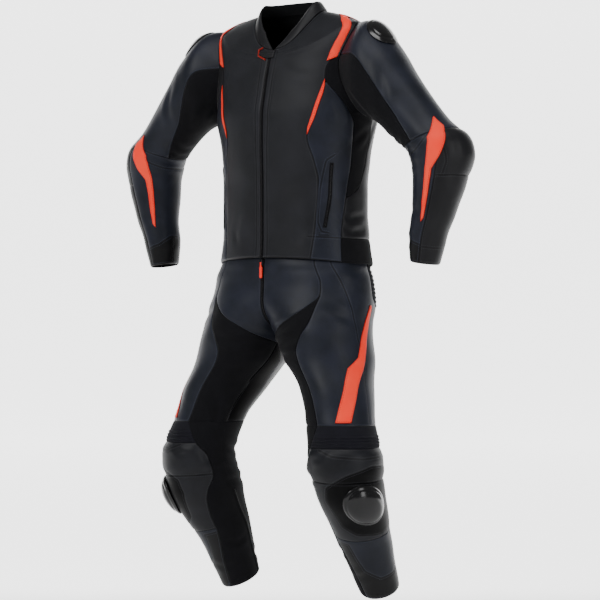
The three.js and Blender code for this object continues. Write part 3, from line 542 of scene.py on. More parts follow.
def sleeve_ring(station, angle):
    """A ring of the sleeve: 0 degrees is the outer line, 90 the front, 180 the inner line."""
    turn = np.radians(angle)
    row = ARMHOLE_ROW + ARMHOLE_HALF_HEIGHT * np.cos(turn)
    side = np.where(np.sin(turn) >= 0, 1, -1)
    start = ring_point(TORSO_RINGS, armhole_angle(row, side, 0), row)
    outer_x, outer_z, inner_x, inner_z, y, half_depth = np.moveaxis(SLEEVE_RINGS[station], -1, 0)
    rest = np.stack(
        [
            (outer_x + inner_x) / 2 + (outer_x - inner_x) / 2 * np.cos(turn),
            y - half_depth * np.sin(turn),
            (outer_z + inner_z) / 2 + (outer_z - inner_z) / 2 * np.cos(turn),
        ],
        axis=-1,
    )
    return np.where((station == 0)[..., None], start, rest)


def sleeve_point(angle, row):
    angle, row = np.broadcast_arrays(np.asarray(angle, float), np.asarray(row, float))
    last = len(SLEEVE_RINGS) - 1
    low = np.clip(np.floor(row).astype(int), 0, last - 1)
    t = (row - low)[..., None]
    weights = [
        -0.5 * t**3 + t**2 - 0.5 * t,
        1.5 * t**3 - 2.5 * t**2 + 1,
        -1.5 * t**3 + 2 * t**2 + 0.5 * t,
        0.5 * t**3 - 0.5 * t**2,
    ]
    return sum(
        weight * sleeve_ring(np.clip(low + step - 1, 0, last), angle) for step, weight in enumerate(weights)
    )


def leg_point(angle, row):
    """A ring of the left leg: 0 degrees is the outer line, 90 the front, 180 the inner line."""
    turn = np.radians(angle)
    power = 2 / at(LEG_RINGS, "power", row)
    front = np.where(np.sin(turn) > 0, at(LEG_RINGS, "front", row), at(LEG_RINGS, "back", row))
    across = at(LEG_RINGS, "half_width", row) * signed_power(np.cos(turn), power)
    forward = front * signed_power(np.sin(turn), power)
    outward = np.radians(at(LEG_RINGS, "turn", row))
    lean = np.radians(at(LEG_RINGS, "lean", row))
    level = forward * np.cos(lean)
    return np.stack(
        [
            at(LEG_RINGS, "x", row) + across * np.cos(outward) + level * np.sin(outward),
            at(LEG_RINGS, "y", row) + across * np.sin(outward) - level * np.cos(outward),
            row - forward * np.sin(lean),
        ],
        axis=-1,
    )


def middle_angle(row, side, distance):
    """The angle at which the leg's ring comes to a distance from the middle plane."""
    row, distance = np.broadcast_arrays(np.asarray(row, float), np.asarray(distance, float))
    low, high = np.full(row.shape, 60.0), np.full(row.shape, 180.0)
    clear = leg_point(side * 179.9, row)[..., 0] > distance
    for _ in range(34):
        middle = (low + high) / 2
        outside = leg_point(side * middle, row)[..., 0] > distance
        low, high = np.where(outside, middle, low), np.where(outside, high, middle)
    return side * np.where(clear, 179.8, low)


def fly_half(row):
    """Half the fly zip's width, which tapers to its lower end."""
    share = np.clip((FLY_TAPER_ROW - row) / FLY_TAPER_LENGTH, 0, 1)
    return ZIP_HALF + (FLY_TIP_HALF - ZIP_HALF) * share


def fly_point(share, row):
    share, row = np.broadcast_arrays(np.asarray(share, float), np.asarray(row, float))
    x = share * fly_half(row)
    side = leg_point(middle_angle(row, 1, np.maximum(np.abs(x), 0.3)), row)
    return np.stack([x, side[..., 1], side[..., 2]], axis=-1)


def stack(*parts):
    return np.stack(np.broadcast_arrays(*parts), axis=-1).astype(float)


TORSO = {
    "point": lambda angle, row: ring_point(TORSO_RINGS, angle, row),
    "centre": lambda row: stack(0 * row, 0 * row, row - 30),
    "step": 0.5,
}
COLLAR = {
    "point": lambda angle, row: ring_point(COLLAR_RINGS, angle, row),
    "centre": lambda row: stack(0 * row, 0 * row, row),
    "step": 0.5,
}
SLEEVE = {
    "point": sleeve_point,
    "centre": lambda row: (sleeve_point(0 * row, row) + sleeve_point(0 * row + 180, row)) / 2,
    "step": 0.02,
}
LEG = {
    "point": leg_point,
    "centre": lambda row: stack(np.maximum(at(LEG_RINGS, "x", row), 40), at(LEG_RINGS, "y", row), row),
    "step": 0.5,
}
FLY = {"point": fly_point, "centre": lambda row: stack(0 * row, 0 * row - 20, row), "step": 0.5}


def outward(surface, angle, row):
    """The unit normal of a form, away from its middle line."""
    wide = 0.02 if surface is FLY else 0.4
    across = surface["point"](angle + wide, row) - surface["point"](angle - wide, row)
    along = surface["point"](angle, row + surface["step"]) - surface["point"](angle, row - surface["step"])
    normal = np.cross(across, along)
    normal /= np.maximum(np.linalg.norm(normal, axis=-1, keepdims=True), 1e-9)
    away = surface["point"](angle, row) - surface["centre"](row)
    return np.where((normal * away).sum(-1, keepdims=True) < 0, -normal, normal)


def per_degree(surface, angle, row):
    return np.linalg.norm(surface["point"](angle + 0.5, row) - surface["point"](angle - 0.5, row), axis=-1)


def along_line(points, count):
    """Evenly spaced values along a list of points, one array for each of their columns."""
    steps = np.linspace(0, len(points) - 1, count)
    return [np.interp(steps, range(len(points)), column) for column in np.array(points, float).T]


# Seams, in degrees, by row


def seam_angle(rows):
    return lambda row: at(rows, "angle", row)


princess, sleeve_back = seam_angle(PRINCESS_SEAM), seam_angle(SLEEVE_BACK_SEAM)
forearm_front, forearm_back = seam_angle(FOREARM_FRONT_SEAM), seam_angle(FOREARM_BACK_SEAM)
knee_outer, knee_inner = seam_angle(KNEE_OUTER_SEAM), seam_angle(KNEE_INNER_SEAM)


def zip_edge(row):
    return np.degrees(np.arcsin((ZIP_HALF / at(TORSO_RINGS, "half_width", row)) ** (ROUNDNESS / 2)))


ARMHOLE_TOP = ARMHOLE_ROW + ARMHOLE_HALF_HEIGHT + ARMHOLE_EASE
ARMHOLE_BOTTOM = ARMHOLE_ROW - ARMHOLE_HALF_HEIGHT - ARMHOLE_EASE
SIDE_TOP, YOKE, YOKE_TOP, STRETCH_TIP, HEM_BAND, HEM, NECK = -170.2, -103.8, -18, -436, -533, -590, 2
WAIST, CROTCH, INNER_TIP, HIP_END, KNEE_BAND, KNEE_PAD = -572, -775, -664, -705, -962, -1012
KNEE_PATCH, SHIN, LEG_HEM = -1085, -1205, -1347
ELBOW_TOP, ELBOW_END, CUFF = 5.6, 8.4, 12


def in_armhole(row):
    return (row < ARMHOLE_TOP - 0.01) & (row > ARMHOLE_BOTTOM + 0.01)


def front_of_side(row):
    plain = np.where(row > ARMHOLE_TOP - 0.02, 90, at(STRETCH_BACK_SEAM, "angle", row))
    return np.where(in_armhole(row), armhole_angle(row, 1), plain)


def front_of_back(row):
    low = np.where(row >= STRETCH_TIP, at(STRETCH_BACK_SEAM, "angle", row),
                   at(STRETCH_FRONT_SEAM, "angle", row))
    plain = np.where(row > ARMHOLE_TOP - 0.02, 90, low)
    return np.where(in_armhole(row), armhole_angle(row, -1), plain)


def stretch_front(row):
    return np.maximum(at(STRETCH_FRONT_SEAM, "angle", row), princess(row) + 0.6)


def stretch_low(row):
    return np.where(row < SIDE_TOP + 0.1, stretch_front(row), princess(row))


def fly_seam(row):
    return np.minimum(at(FLY_PANEL_SEAM, "angle", row), middle_angle(row, 1, SEAM) - 0.2)


def inner_seam(row):
    return np.where(row > INNER_TIP + 0.5, fly_seam(row), at(THIGH_INNER_SEAM, "angle", row))


def hip_seam(rows):
    """A border of the ribbed hip, which goes on below it as the side seam."""
    return lambda row: np.where(row > HIP_END - 0.5, at(rows, "angle", row), at(SIDE_SEAM, "angle", row))


hip_front, hip_back = hip_seam(HIP_FRONT_SEAM), hip_seam(HIP_BACK_SEAM)


def sleeve_front(side):
    """The arms are turned a little differently, and so is the seam between hide and stretch."""
    return seam_angle(LEFT_SLEEVE_FRONT_SEAM if side > 0 else RIGHT_SLEEVE_FRONT_SEAM)


# Main creases, listed as points on a form, then depth and width in millimetres
CREASES = {
    "TORSO": [
        ([(62, -500), (80, -520), (98, -512)], 2.2, 9),
        ([(58, -470), (78, -488), (100, -476)], 1.6, 8),
        ([(120, -530), (150, -512), (180, -520)], 2.4, 11),
        ([(118, -480), (146, -468), (176, -474)], 1.8, 10),
        ([(100, -262), (88, -290), (74, -318)], 2.2, 9),
        ([(104, -250), (98, -286), (90, -330)], 1.8, 9),
        ([(52, -205), (60, -240), (64, -280)], 1.6, 8),
        ([(26, -560), (30, -520), (24, -470)], 1.2, 9),
        ([(140, -120), (152, -160), (150, -210)], 1.6, 11),
        ([(8, -110), (20, -135), (34, -150)], 1.0, 8),
    ],
    "SLEEVE": [
        ([(120, 0.4), (140, 1.2), (160, 1.9)], 3.2, 9),
        ([(150, 0.2), (165, 1.0), (185, 1.6)], 2.8, 9),
        ([(200, 0.5), (190, 1.4), (200, 2.4)], 2.6, 9),
        ([(130, 4.9), (160, 5.3), (195, 5.2)], 3.4, 8),
        ([(120, 5.7), (155, 5.9), (200, 5.8)], 3.8, 8),
        ([(105, 6.6), (150, 6.5), (205, 6.4)], 3.0, 8),
        ([(135, 4.2), (165, 4.5), (200, 4.4)], 2.4, 8),
        ([(110, 7.5), (145, 7.2), (190, 7.3)], 2.0, 8),
        ([(60, 2.4), (80, 3.0), (110, 3.4)], 1.8, 10),
        ([(-60, 3.2), (-80, 4.0), (-100, 4.8)], 1.8, 10),
        ([(80, 9.6), (120, 9.9), (160, 9.7)], 1.4, 8),
        ([(100, 10.9), (140, 11.1), (190, 10.9)], 1.8, 7),
    ],
    "LEG": [
        ([(168, -762), (120, -742), (86, -716)], 2.6, 9),
        ([(170, -778), (126, -774), (92, -760)], 2.8, 9),
        ([(172, -800), (136, -806), (104, -802)], 2.4, 9),
        ([(60, -690), (40, -710), (22, -722)], 2.0, 11),
        ([(-150, -770), (-110, -760), (-70, -744)], 2.6, 11),
        ([(-160, -800), (-120, -800), (-80, -790)], 2.4, 11),
        ([(-100, -640), (-70, -655), (-44, -650)], 2.0, 12),
        ([(150, -900), (168, -950), (186, -990)], 2.0, 9),
        ([(-170, -1010), (-120, -1030), (-62, -1024)], 3.2, 9),
        ([(-172, -1042), (-130, -1056), (-72, -1050)], 3.6, 9),
        ([(-168, -1072), (-128, -1082), (-74, -1078)], 3.4, 9),
        ([(-176, -1106), (-136, -1108), (-86, -1112)], 2.6, 9),
        ([(150, -1030), (168, -1046), (190, -1050)], 2.4, 8),
        ([(146, -1066), (166, -1078), (192, -1080)], 2.4, 8),
        ([(140, -1240), (170, -1252), (200, -1246)], 1.8, 8),
        ([(-150, -1296), (-110, -1306), (-60, -1300)], 2.2, 8),
        ([(80, -1284), (110, -1296), (150, -1300)], 1.6, 8),
        ([(104, -1016), (118, -1034), (132, -1040)], 2.2, 7),
    ],
}
FORM_NAMES = {id(TORSO): "TORSO", id(SLEEVE): "SLEEVE", id(LEG): "LEG"}


def crease_relief(surface, points, side):
    """How far the creases push each point in or out; the two sides differ a little."""
    relief = np.zeros(points.shape[:-1])
    for number, (line, depth, width) in enumerate(CREASES.get(FORM_NAMES.get(id(surface)), [])):
        sway = 0 if side > 0 else 5 * math.sin(2.3 * number + 1)
        strength = depth * (1 if side > 0 else 0.8 + 0.2 * math.cos(1.7 * number))
        angles, rows = along_line(line, 13)
        path = surface["point"](angles + sway, rows)
        if np.linalg.norm(points - path[6], axis=-1).min() > 160:
            continue
        best = np.full(relief.shape, 1e9)
        where = np.zeros(relief.shape)
        for part in range(12):
            start, run = path[part], path[part + 1] - path[part]
            share = np.clip(((points - start) @ run) / (run @ run), 0, 1)
            gap = np.linalg.norm(points - start - share[..., None] * run, axis=-1)
            closer = gap < best
            best = np.where(closer, gap, best)
            where = np.where(closer, (part + share) / 12, where)
        fade = np.clip(np.sin(np.pi * np.clip(where, 0.02, 0.98)), 0, 1) ** 0.7
        valley = -np.exp(-((best / width) ** 2)) + 0.55 * np.exp(-(((best - 1.9 * width) / width) ** 2))
        relief += strength * fade * valley
    return relief


# Where a panel changes to a second hide or to loop fabric: the form, the border, the panels
ZONE_BORDERS = [
    (LEG, [(150, -1212), (107, -1214), (99, -1248), (88, -1277), (54, -1299), (10, -1299), (-26, -1282),
           (-40, -1216)], ("shin",)),
    (LEG, [(122, -1120), (116, -1094), (78, -1070), (35, -1052), (-12, -1052), (-20, -1100), (-16, -1170),
           (-4, -1196), (32, -1198), (83, -1190), (108, -1172), (122, -1120)], ("knee_pad", "knee_patch")),
    (LEG, [(-134, -962), (-142, -880), (-156, -820), (-179, -778)], ("seat",)),
    (SLEEVE, [(282, 11.35), (240, 11.2), (190, 10.7), (160, 10.7), (120, 11.1), (74, 11.3)],
     ("forearm_inner",)),
]

# Lines sewn across a panel, joining two pieces of the same hide: the form, the points, the panels
SEWN_LINES = [
    (TORSO, [(3.3, -586), (3.3, -400), (3.6, -200), (4.2, -60), (4.6, -8)], ("front",)),
    (TORSO, [(36, -533), (52, -533), (66, -533)], ("side_front", "front")),
    (TORSO, [(60, -340), (52.5, -352), (47.5, -420), (45, -496), (48, -520), (54, -522)], ("side_front",)),
    (TORSO, [(98, -150), (130, -162), (180, -168), (230, -162), (262, -150)], ("back",)),
    (TORSO, [(130, -166), (138, -300), (146, -430), (150, -532)], ("back",)),
    (TORSO, [(230, -166), (222, -300), (214, -430), (210, -532)], ("back",)),
    (SLEEVE, [(-60, 0.3), (-40, 1.4), (-30, 3.0), (-38, 5.55)], ("sleeve_outer",)),
    (SLEEVE, [(66, 5.62), (56, 6.1), (50, 6.9), (48, 7.7), (54, 8.38)], ("elbow_pad",)),
    (SLEEVE, [(-50, 5.65), (-46, 6.6), (-46, 7.4), (-52, 8.38)], ("elbow_pad",)),
    (SLEEVE, [(70, 5.7), (104, 6.3), (150, 6.7), (200, 6.6), (262, 6.1)], ("forearm_inner",)),
    (SLEEVE, [(-80, 11.35), (-20, 11.4), (30, 11.4), (76, 11.35)], ("forearm_outer",)),
    (LEG, [(36, -574), (30, -640), (22, -740), (20, -840), (18, -958)], ("thigh_front",)),
    (LEG, [(-60, -700), (-100, -730), (-140, -745), (-178, -748)], ("seat",)),
    (LEG, [(-110, -750), (-108, -860), (-104, -960)], ("seat",)),
    (LEG, [(-38, -1016), (0, -1030), (50, -1036), (96, -1030), (120, -1016)], ("knee_pad",)),
    (LEG, [(190, -1000), (206, -1128)], ("calf",)),
]


def sewn_line(lines, surface, name, points, normals):
    """Signed distance to the nearest of these lines across this panel, and the run along it."""
    best = np.full(points.shape[:-1], 60.0)
    signed, running = -best, np.zeros(best.shape)
    for form, line, panels in lines:
        if form is not surface or name not in panels:
            continue
        path = surface["point"](*along_line(line, 8 * len(line)))
        done = 0.0
        for start, end in zip(path[:-1], path[1:]):
            way = end - start
            length = np.linalg.norm(way)
            share = np.clip(((points - start) @ way) / (way @ way), 0, 1)
            off = points - start - share[..., None] * way
            gap = np.linalg.norm(off, axis=-1)
            hand = np.where((np.cross(off, way) * normals).sum(-1) < 0, -1, 1)
            closer = gap < best
            best = np.where(closer, gap, best)
            signed = np.where(closer, gap * hand, signed)
            running = np.where(closer, done + share * length, running)
            done += length
    return signed, running


def slow_waves(points):
    """The slight unevenness of hide over padding, about half a millimetre."""
    x, y, z = np.moveaxis(points, -1, 0)
    swell = 0.5 * np.sin(x / 23 + 1.3 * np.sin(z / 41)) * np.sin(z / 29 + y / 37)
    return swell + 0.3 * np.sin(z / 13 + x / 17)


# Pieces of cloth


def spaced(length, step, border):
    """Places along a side, in shares of it: closer at both borders, where the seam rolls in."""
    edges = np.array([0, 0.8, 1.8, 3.4, 5.6]) * min(1, length / 24) / length
    if not border:
        return np.linspace(0, 1, max(2, int(round(length / step)) + 1))
    middle = np.linspace(edges[-1], 1 - edges[-1], max(2, int(round(length / step))))
    return np.concatenate([edges[:-1], middle, 1 - edges[:-1][::-1]])


def arc(points, axis):
    """Running length along a grid's axis, from 0."""
    steps = np.linalg.norm(np.diff(points, axis=axis), axis=-1)
    first = np.zeros_like(np.take(steps, [0], axis=axis))
    return np.concatenate([first, np.cumsum(steps, axis=axis)], axis=axis)


def border_marks(points):
    """Running lengths across and along a panel, the distance to its border and the run there."""
    across, along = arc(points, 1), arc(points, 0)
    to_side = np.minimum(across, across[:, -1:] - across)
    to_end = np.minimum(along, along[-1:] - along)
    return across, along, np.minimum(to_side, to_end), np.where(to_side < to_end, along, across)


def grid_mesh(name, outer, inner, materials, side, sheet_uv, attributes):
    """A closed thin shell between two grids of points, with the lining on its inside."""
    rows, columns = outer.shape[:2]
    count = rows * columns
    points = np.concatenate([outer.reshape(-1, 3), inner.reshape(-1, 3)]) * MM
    points[:, 0] *= side
    number = np.arange(count).reshape(rows, columns)
    a, b, c, d = number[:-1, :-1], number[:-1, 1:], number[1:, 1:], number[1:, :-1]
    front = np.stack([a, b, c, d], -1).reshape(-1, 4)
    rim = np.concatenate([number[0, :], number[1:, -1], number[-1, -2::-1], number[-2:0:-1, 0]])
    following = np.roll(rim, -1)
    walls = np.stack([rim, rim + count, following + count, following], -1)
    faces = np.concatenate([front, front[:, ::-1] + count, walls])
    corner = points[front[len(front) // 2]]
    facing = np.cross(corner[1] - corner[0], corner[2] - corner[0])
    centre = number[rows // 2, columns // 2]
    depth = points[centre] - points[centre + count]
    if facing @ depth < 0:
        faces = faces[:, ::-1]
    mesh = bpy.data.meshes.new(name)
    mesh.from_pydata(points.tolist(), [], faces.tolist())
    mesh.polygons.foreach_set("use_smooth", np.ones(len(faces), bool))
    slots = np.zeros(len(faces), int)
    slots[len(front) : 2 * len(front)] = 1
    for material in materials:
        mesh.materials.append(material)
    if len(materials) > 1:
        mesh.polygons.foreach_set("material_index", slots)
    layer = mesh.uv_layers.new(name="UVMap")
    vertices = np.empty(len(mesh.loops), int)
    mesh.loops.foreach_get("vertex_index", vertices)
    uv = sheet_uv.reshape(-1, 2) * MM
    layer.data.foreach_set("uv", uv[vertices % count].reshape(-1))
    for key, values in attributes.items():
        data = mesh.attributes.new(key, "FLOAT", "POINT")
        data.data.foreach_set("value", np.tile(values.reshape(-1), 2).astype(float))
    mesh.update()
    return link_object(name, mesh)


def settle(piece, node_name):
    """The piece stands for its CAD node, which is hidden, and moves with the suit."""
    if node_name:
        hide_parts(node_name)
    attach(piece, "suit")


def declare_sheet(plain):
    width = max(float(arc(plain, 1)[:, -1].max()) * MM, 0.0101)
    length = float(arc(plain, 0)[-1].max()) * MM
    across, along = np.diff(plain, axis=1)[:-1], np.diff(plain, axis=0)[:, :-1]
    area = float(np.linalg.norm(np.cross(across, along), axis=-1).sum()) * MM * MM
    area = min(max(area, 0.3001 * width * length), width * length)


CENTRE_PIECES = {"back", "hem_band", "collar", "front_zip", "fly_zip"}


def cloth_panel(name, surface, start, end, low, high, finish, side=1, relief=None,
                rows=None):
    """One cut panel, sewn at all its edges: its borders roll in to the seam and its middle puffs."""
    if rows is None:
        middle = np.array([(start + end) / 2])
        angle = float(low(middle)[0] + high(middle)[0]) / 2
        place = surface["point"](np.full(60, angle), np.linspace(start, end, 60))
        length = np.linalg.norm(np.diff(place, axis=0), axis=1).sum()
        rows = start + (end - start) * spaced(length, GRID, True)
    row = np.asarray(rows, float)
    left, right = low(row), high(row)
    right = np.maximum(right, left + 0.3)
    size = per_degree(surface, (left + right) / 2, row)
    width = float(np.median((right - left) * size))
    share = spaced(max(width, 4.0), GRID, True)
    trim = SEAM / 2 / size
    angle = (left + trim)[:, None] + (right - left - 2 * trim)[:, None] * share[None, :]
    row_grid = np.repeat(row[:, None], len(share), axis=1)
    plain = surface["point"](angle, row_grid)
    normal = outward(surface, angle, row_grid)
    across, along, edge, run = border_marks(plain)
    rise = -1.1 * np.exp(-edge / 1.1) + 0.7 * (1 - np.exp(-edge / 9)) * np.minimum(1, edge / 3)
    calm = np.clip(edge / 6, 0, 1)
    rise = rise + calm * (crease_relief(surface, plain, side) + slow_waves(plain))
    line, line_run = sewn_line(SEWN_LINES, surface, name, plain, normal)
    zone, zone_run = sewn_line(ZONE_BORDERS, surface, name, plain, normal)
    nearer = np.abs(zone) < np.abs(line)
    line, line_run = np.where(nearer, zone, line), np.where(nearer, zone_run, line_run)
    rise = rise - 0.8 * np.exp(-((line / 2.2) ** 2)) + 0.3 * np.exp(-(((np.abs(line) - 6) / 4) ** 2))
    if relief is not None:
        rise = rise + relief(share[None, :] + 0 * angle, (along / along[-1:].clip(1e-6)), row_grid, edge)
    if surface is LEG:
        # Beside the middle plane both legs' cloth meets, so nothing stands out or sinks there
        rise = rise * np.clip((np.abs(plain[..., 0]) - 0.5) / 10, 0, 1)
    outer = plain + normal * np.maximum(rise, -1.6)[..., None]
    inner = plain - normal * WALL
    # The lining reaches under the neighbours, as a seam allowance does
    allowance = 1.6 if surface is not FLY else 0.0
    for first, second in ((0, 1), (-1, -2)):
        for lining in (inner.swapaxes(0, 1), inner):
            way = lining[first] - lining[second]
            length = np.maximum(np.linalg.norm(way, axis=-1, keepdims=True), 0.05)
            lining[first] += way / length * allowance
    sheet_uv = np.stack([across, along], -1)
    full = name if name in CENTRE_PIECES else f"{name}_{'left' if side > 0 else 'right'}"
    marks = {"edge": edge, "run": run, "line": line, "line_run": line_run, "zone": zone}
    piece = grid_mesh(f"{full}_cloth", outer, inner, [finish, LINING], side, sheet_uv, marks)
    settle(piece, full)
    declare_sheet(outer)


def sewn_strip(full, surface, sections, thickness, finish, side=1, lift=0.7, replace=True):
    """A strip sewn on a panel: sections across it run from one point of the form to another."""
    row, angle, to_row, to_angle = along_line(sections, (len(sections) - 1) * 10 + 1)
    share = np.array([0, 0.05, 0.12, 0.25, 0.38, 0.5, 0.62, 0.75, 0.88, 0.95, 1])
    angles = angle[:, None] + (to_angle - angle)[:, None] * share
    rows = row[:, None] + (to_row - row)[:, None] * share
    plain = surface["point"](angles, rows)
    normal = outward(surface, angles, rows)
    across, along, edge, run = border_marks(plain)
    ground = 0.7 + crease_relief(surface, plain, side) + slow_waves(plain)
    rise = ground + lift + thickness * (1 - 0.6 * np.exp(-edge / 1.0))
    outer = plain + normal * rise[..., None]
    inner = plain + normal * (ground + lift - 1.2)[..., None]
    marks = {"edge": edge, "run": run, "line": 0 * edge + 60}
    piece = grid_mesh(f"{full}_cloth", outer, inner, [finish], side, np.stack([across, along], -1), marks)
    settle(piece, full if replace else None)
    declare_sheet(outer)


def hard_dome(full, surface, shape, finish, side, profile):
    """A moulded oval guard: rings of points over the form, with a flat underside."""
    angle, row = shape["angle"], shape["row"]
    degree = float(per_degree(surface, np.array(angle), np.array(row)))
    reach = surface["step"]
    span = surface["point"](angle, row + reach) - surface["point"](angle, row - reach)
    per_row = float(np.linalg.norm(span) / (2 * reach))
    radius = np.concatenate([np.linspace(0.06, 0.93, 22), [0.96, 0.98, 0.995, 1.0]])
    turns = 96
    turn = np.arange(turns) * 2 * np.pi / turns
    x = np.append(0.0, (radius[:, None] * shape["half_width"] * np.cos(turn)).reshape(-1))
    y = np.append(0.0, (radius[:, None] * shape["half_height"] * np.sin(turn)).reshape(-1))
    height = np.append(profile(0.0), np.repeat(profile(radius), turns))
    angles, rows = angle + x / degree, row + y / per_row
    plain = surface["point"](angles, rows)
    normal = outward(surface, angles, rows)
    top = plain + normal * (shape["lift"] + height)[:, None]
    under = plain + normal * shape["lift"]
    points = np.concatenate([top, under]) * MM
    points[:, 0] *= side
    faces = []
    for start in (0, len(top)):
        for step in range(turns):
            after = (step + 1) % turns
            faces.append((start, start + 1 + step, start + 1 + after))
            for ring in range(len(radius) - 1):
                low = start + 1 + ring * turns
                faces.append((low + step, low + turns + step, low + turns + after, low + after))
    rim = 1 + (len(radius) - 1) * turns
    for step in range(turns):
        after = (step + 1) % turns
        faces.append((rim + step, rim + after, len(top) + rim + after, len(top) + rim + step))
    shell = bmesh.new()
    corners = [shell.verts.new(point) for point in points]
    for face in faces:
        shell.faces.new([corners[corner] for corner in face]).smooth = True
    bmesh.ops.recalc_face_normals(shell, faces=shell.faces)
    mesh = bpy.data.meshes.new(f"{full}_shell")
    shell.to_mesh(mesh)
    shell.free()
    mesh.materials.append(finish)
    settle(link_object(f"{full}_shell", mesh), full)


TOOTH_SIZE = (1.5, 2.6, 1.4)


def box_run(name, places, directions, normals, size, finish, side=1):
    """A row of small moulded teeth, each a block along a line on the form."""
    points, faces = [], []
    length, width, height = size
    for place, along, normal in zip(places, directions, normals):
        along = along / np.linalg.norm(along)
        across = np.cross(normal, along)
        base = len(points)
        for up in (0, 1):
            for s, t in ((-1, -1), (1, -1), (1, 1), (-1, 1)):
                shrink = 1 if up == 0 else 0.7
                points.append(
                    place + along * s * length / 2 * shrink + across * t * width / 2 * shrink + normal * up * height
                )
        faces += [
            (base, base + 3, base + 2, base + 1),
            (base + 4, base + 5, base + 6, base + 7),
        ] + [(base + k, base + (k + 1) % 4, base + 4 + (k + 1) % 4, base + 4 + k) for k in range(4)]
    points = np.array(points) * MM
    points[:, 0] *= side
    if side < 0:
        faces = [face[::-1] for face in faces]
    mesh = bpy.data.meshes.new(name)
    mesh.from_pydata(points.tolist(), [], faces)
    mesh.materials.append(finish)
    mesh.update()
    settle(link_object(name, mesh), None)


def teeth_along(name, surface, line, pitch=3.0, spread=1.5, lift=0.3, side=1):
    """Two rows of interlocking teeth along a line of (angle, row) points on a form."""
    angles, rows = along_line(line, 400)
    path = surface["point"](angles, rows)
    run = np.concatenate([[0], np.cumsum(np.linalg.norm(np.diff(path, axis=0), axis=1))])
    at_teeth = np.arange(1.5, run[-1] - 1.5, pitch / 2)
    angles, rows = np.interp(at_teeth, run, angles), np.interp(at_teeth, run, rows)
    places = surface["point"](angles, rows)
    normals = outward(surface, angles, rows)
    along = np.gradient(places, axis=0)
    across = np.cross(normals, along / np.linalg.norm(along, axis=1, keepdims=True))
    shift = np.where(np.arange(len(places)) % 2, 1, -1)[:, None] * spread / 2
    middles = places + across * shift + normals * lift
    box_run(name, middles, along, normals, TOOTH_SIZE, TEETH, side)


def tube(name, places, radius, finish, side=1):
    """Piping: a thin round roll through a list of points in millimetres."""
    path = np.stack(along_line(places, (len(places) - 1) * 8 + 1), -1)
    curve = bpy.data.curves.new(name, "CURVE")
    curve.dimensions = "3D"
    curve.bevel_depth = radius * MM
    curve.bevel_resolution = 3
    curve.use_fill_caps = True
    spline = curve.splines.new("POLY")
    spline.points.add(len(path) - 1)
    for point, place in zip(spline.points, path):
        point.co = (place[0] * MM * side, place[1] * MM, place[2] * MM, 1)
    curve.materials.append(finish)
    settle(link_object(name, curve), None)


# Finishes
BLACK_LEATHER = leather("black_cowhide", "#0f0f12", "#151518", "#26262a", 0.44)
CHEST_LEATHER = leather("perforated_cowhide", "#141519", "#1a1b20", "#2a2a2e", 0.5, holes=True)
GREY_LEATHER = leather("blue_grey_cowhide", "#13161e", "#1a1d28", "#2c2f3b", 0.44)
CUFF_LEATHER = leather("cuff_cowhide", "#13161e", "#1a1d28", "#2c2f3b", 0.44, zone="#060608")
SHIN_LEATHER = leather("shin_cowhide", "#12151d", "#171a24", "#2c2f38", 0.44, zone="#060608")
KNEE_LEATHER = leather("knee_cowhide", "#0f1014", "#15161b", "#2a2a2e", 0.46, zone="#010102",
                       zone_shine=0.1)
SEAT_LEATHER = leather("seat_cowhide", "#0f0f12", "#151518", "#26262a", 0.44, zone="#050506",
                       zone_shine=0.04)
# The red hide's gap colour is a dark red painted shade for its seams
RED_LEATHER = leather("orange_red_cowhide", "#ff2e17", "#ff4026", "#b02a18", 0.55, gap="#5a0b03")
STRETCH = stretch_fabric("stretch_nylon", "#050507", "#0c0c10")
RIBBED = stretch_fabric("ribbed_stretch", "#0d0d12", "#16161d")
LINING = mesh_lining()
HARD = moulded_plastic("polished_urethane", "#050506", "#0b0b0d", 0.1)
TEETH = zip_teeth()
ZINC = coated_zinc()
RED_RUBBER = moulded_plastic("moulded_pull_rubber", "#f02008", "#fa2c10", 0.4)
TAPE = stretch_fabric("zip_tape_twill", "#060607", "#0e0e11")


def build_torso():
    armhole_rows = ARMHOLE_ROW + (ARMHOLE_HALF_HEIGHT + ARMHOLE_EASE) * np.cos(np.pi * (1 - np.arange(41) / 40))
    lower = np.arange(HEM, ARMHOLE_BOTTOM - 2, GRID)
    upper = np.array([-28, -26, -24, -21, -18, -14.5, -11, -7.5, -4, -1])
    everything = np.concatenate([lower, armhole_rows, upper])

    def rows_between(start, end):
        inside = everything[(everything > start + 4.6) & (everything < end - 4.6)]
        edges = np.array([0, 0.8, 1.8, 3.4])
        return np.concatenate([start + 0.15 + edges, inside, end - 0.15 - edges[::-1]])

    def armhole_swell(across, along, row, edge):
        return 5 * np.clip(across, 0, 1) ** 2.5 * in_armhole(row)

    for side in (1, -1):
        cloth_panel("front", TORSO, HEM, NECK, zip_edge, princess, CHEST_LEATHER, side,
                    rows=rows_between(HEM, NECK))
        cloth_panel("side_front", TORSO, HEM, SIDE_TOP, princess, stretch_front, GREY_LEATHER,
                    side,
                    rows=rows_between(HEM, SIDE_TOP))
        cloth_panel("side_stretch", TORSO, STRETCH_TIP, YOKE, stretch_low, front_of_side, STRETCH,
                    side, relief=armhole_swell, rows=rows_between(STRETCH_TIP, YOKE))
        cloth_panel("shoulder_front", TORSO, YOKE, YOKE_TOP, princess, front_of_side, BLACK_LEATHER,
                    side, relief=armhole_swell, rows=rows_between(YOKE, YOKE_TOP))
    cloth_panel("back", TORSO, HEM_BAND, NECK, front_of_back, lambda row: 360 - front_of_back(row),
                BLACK_LEATHER,
                rows=rows_between(HEM_BAND, NECK))
    cloth_panel("hem_band", TORSO, HEM, HEM_BAND, front_of_back, lambda row: 360 - front_of_back(row),
                STRETCH,
                rows=rows_between(HEM, HEM_BAND))


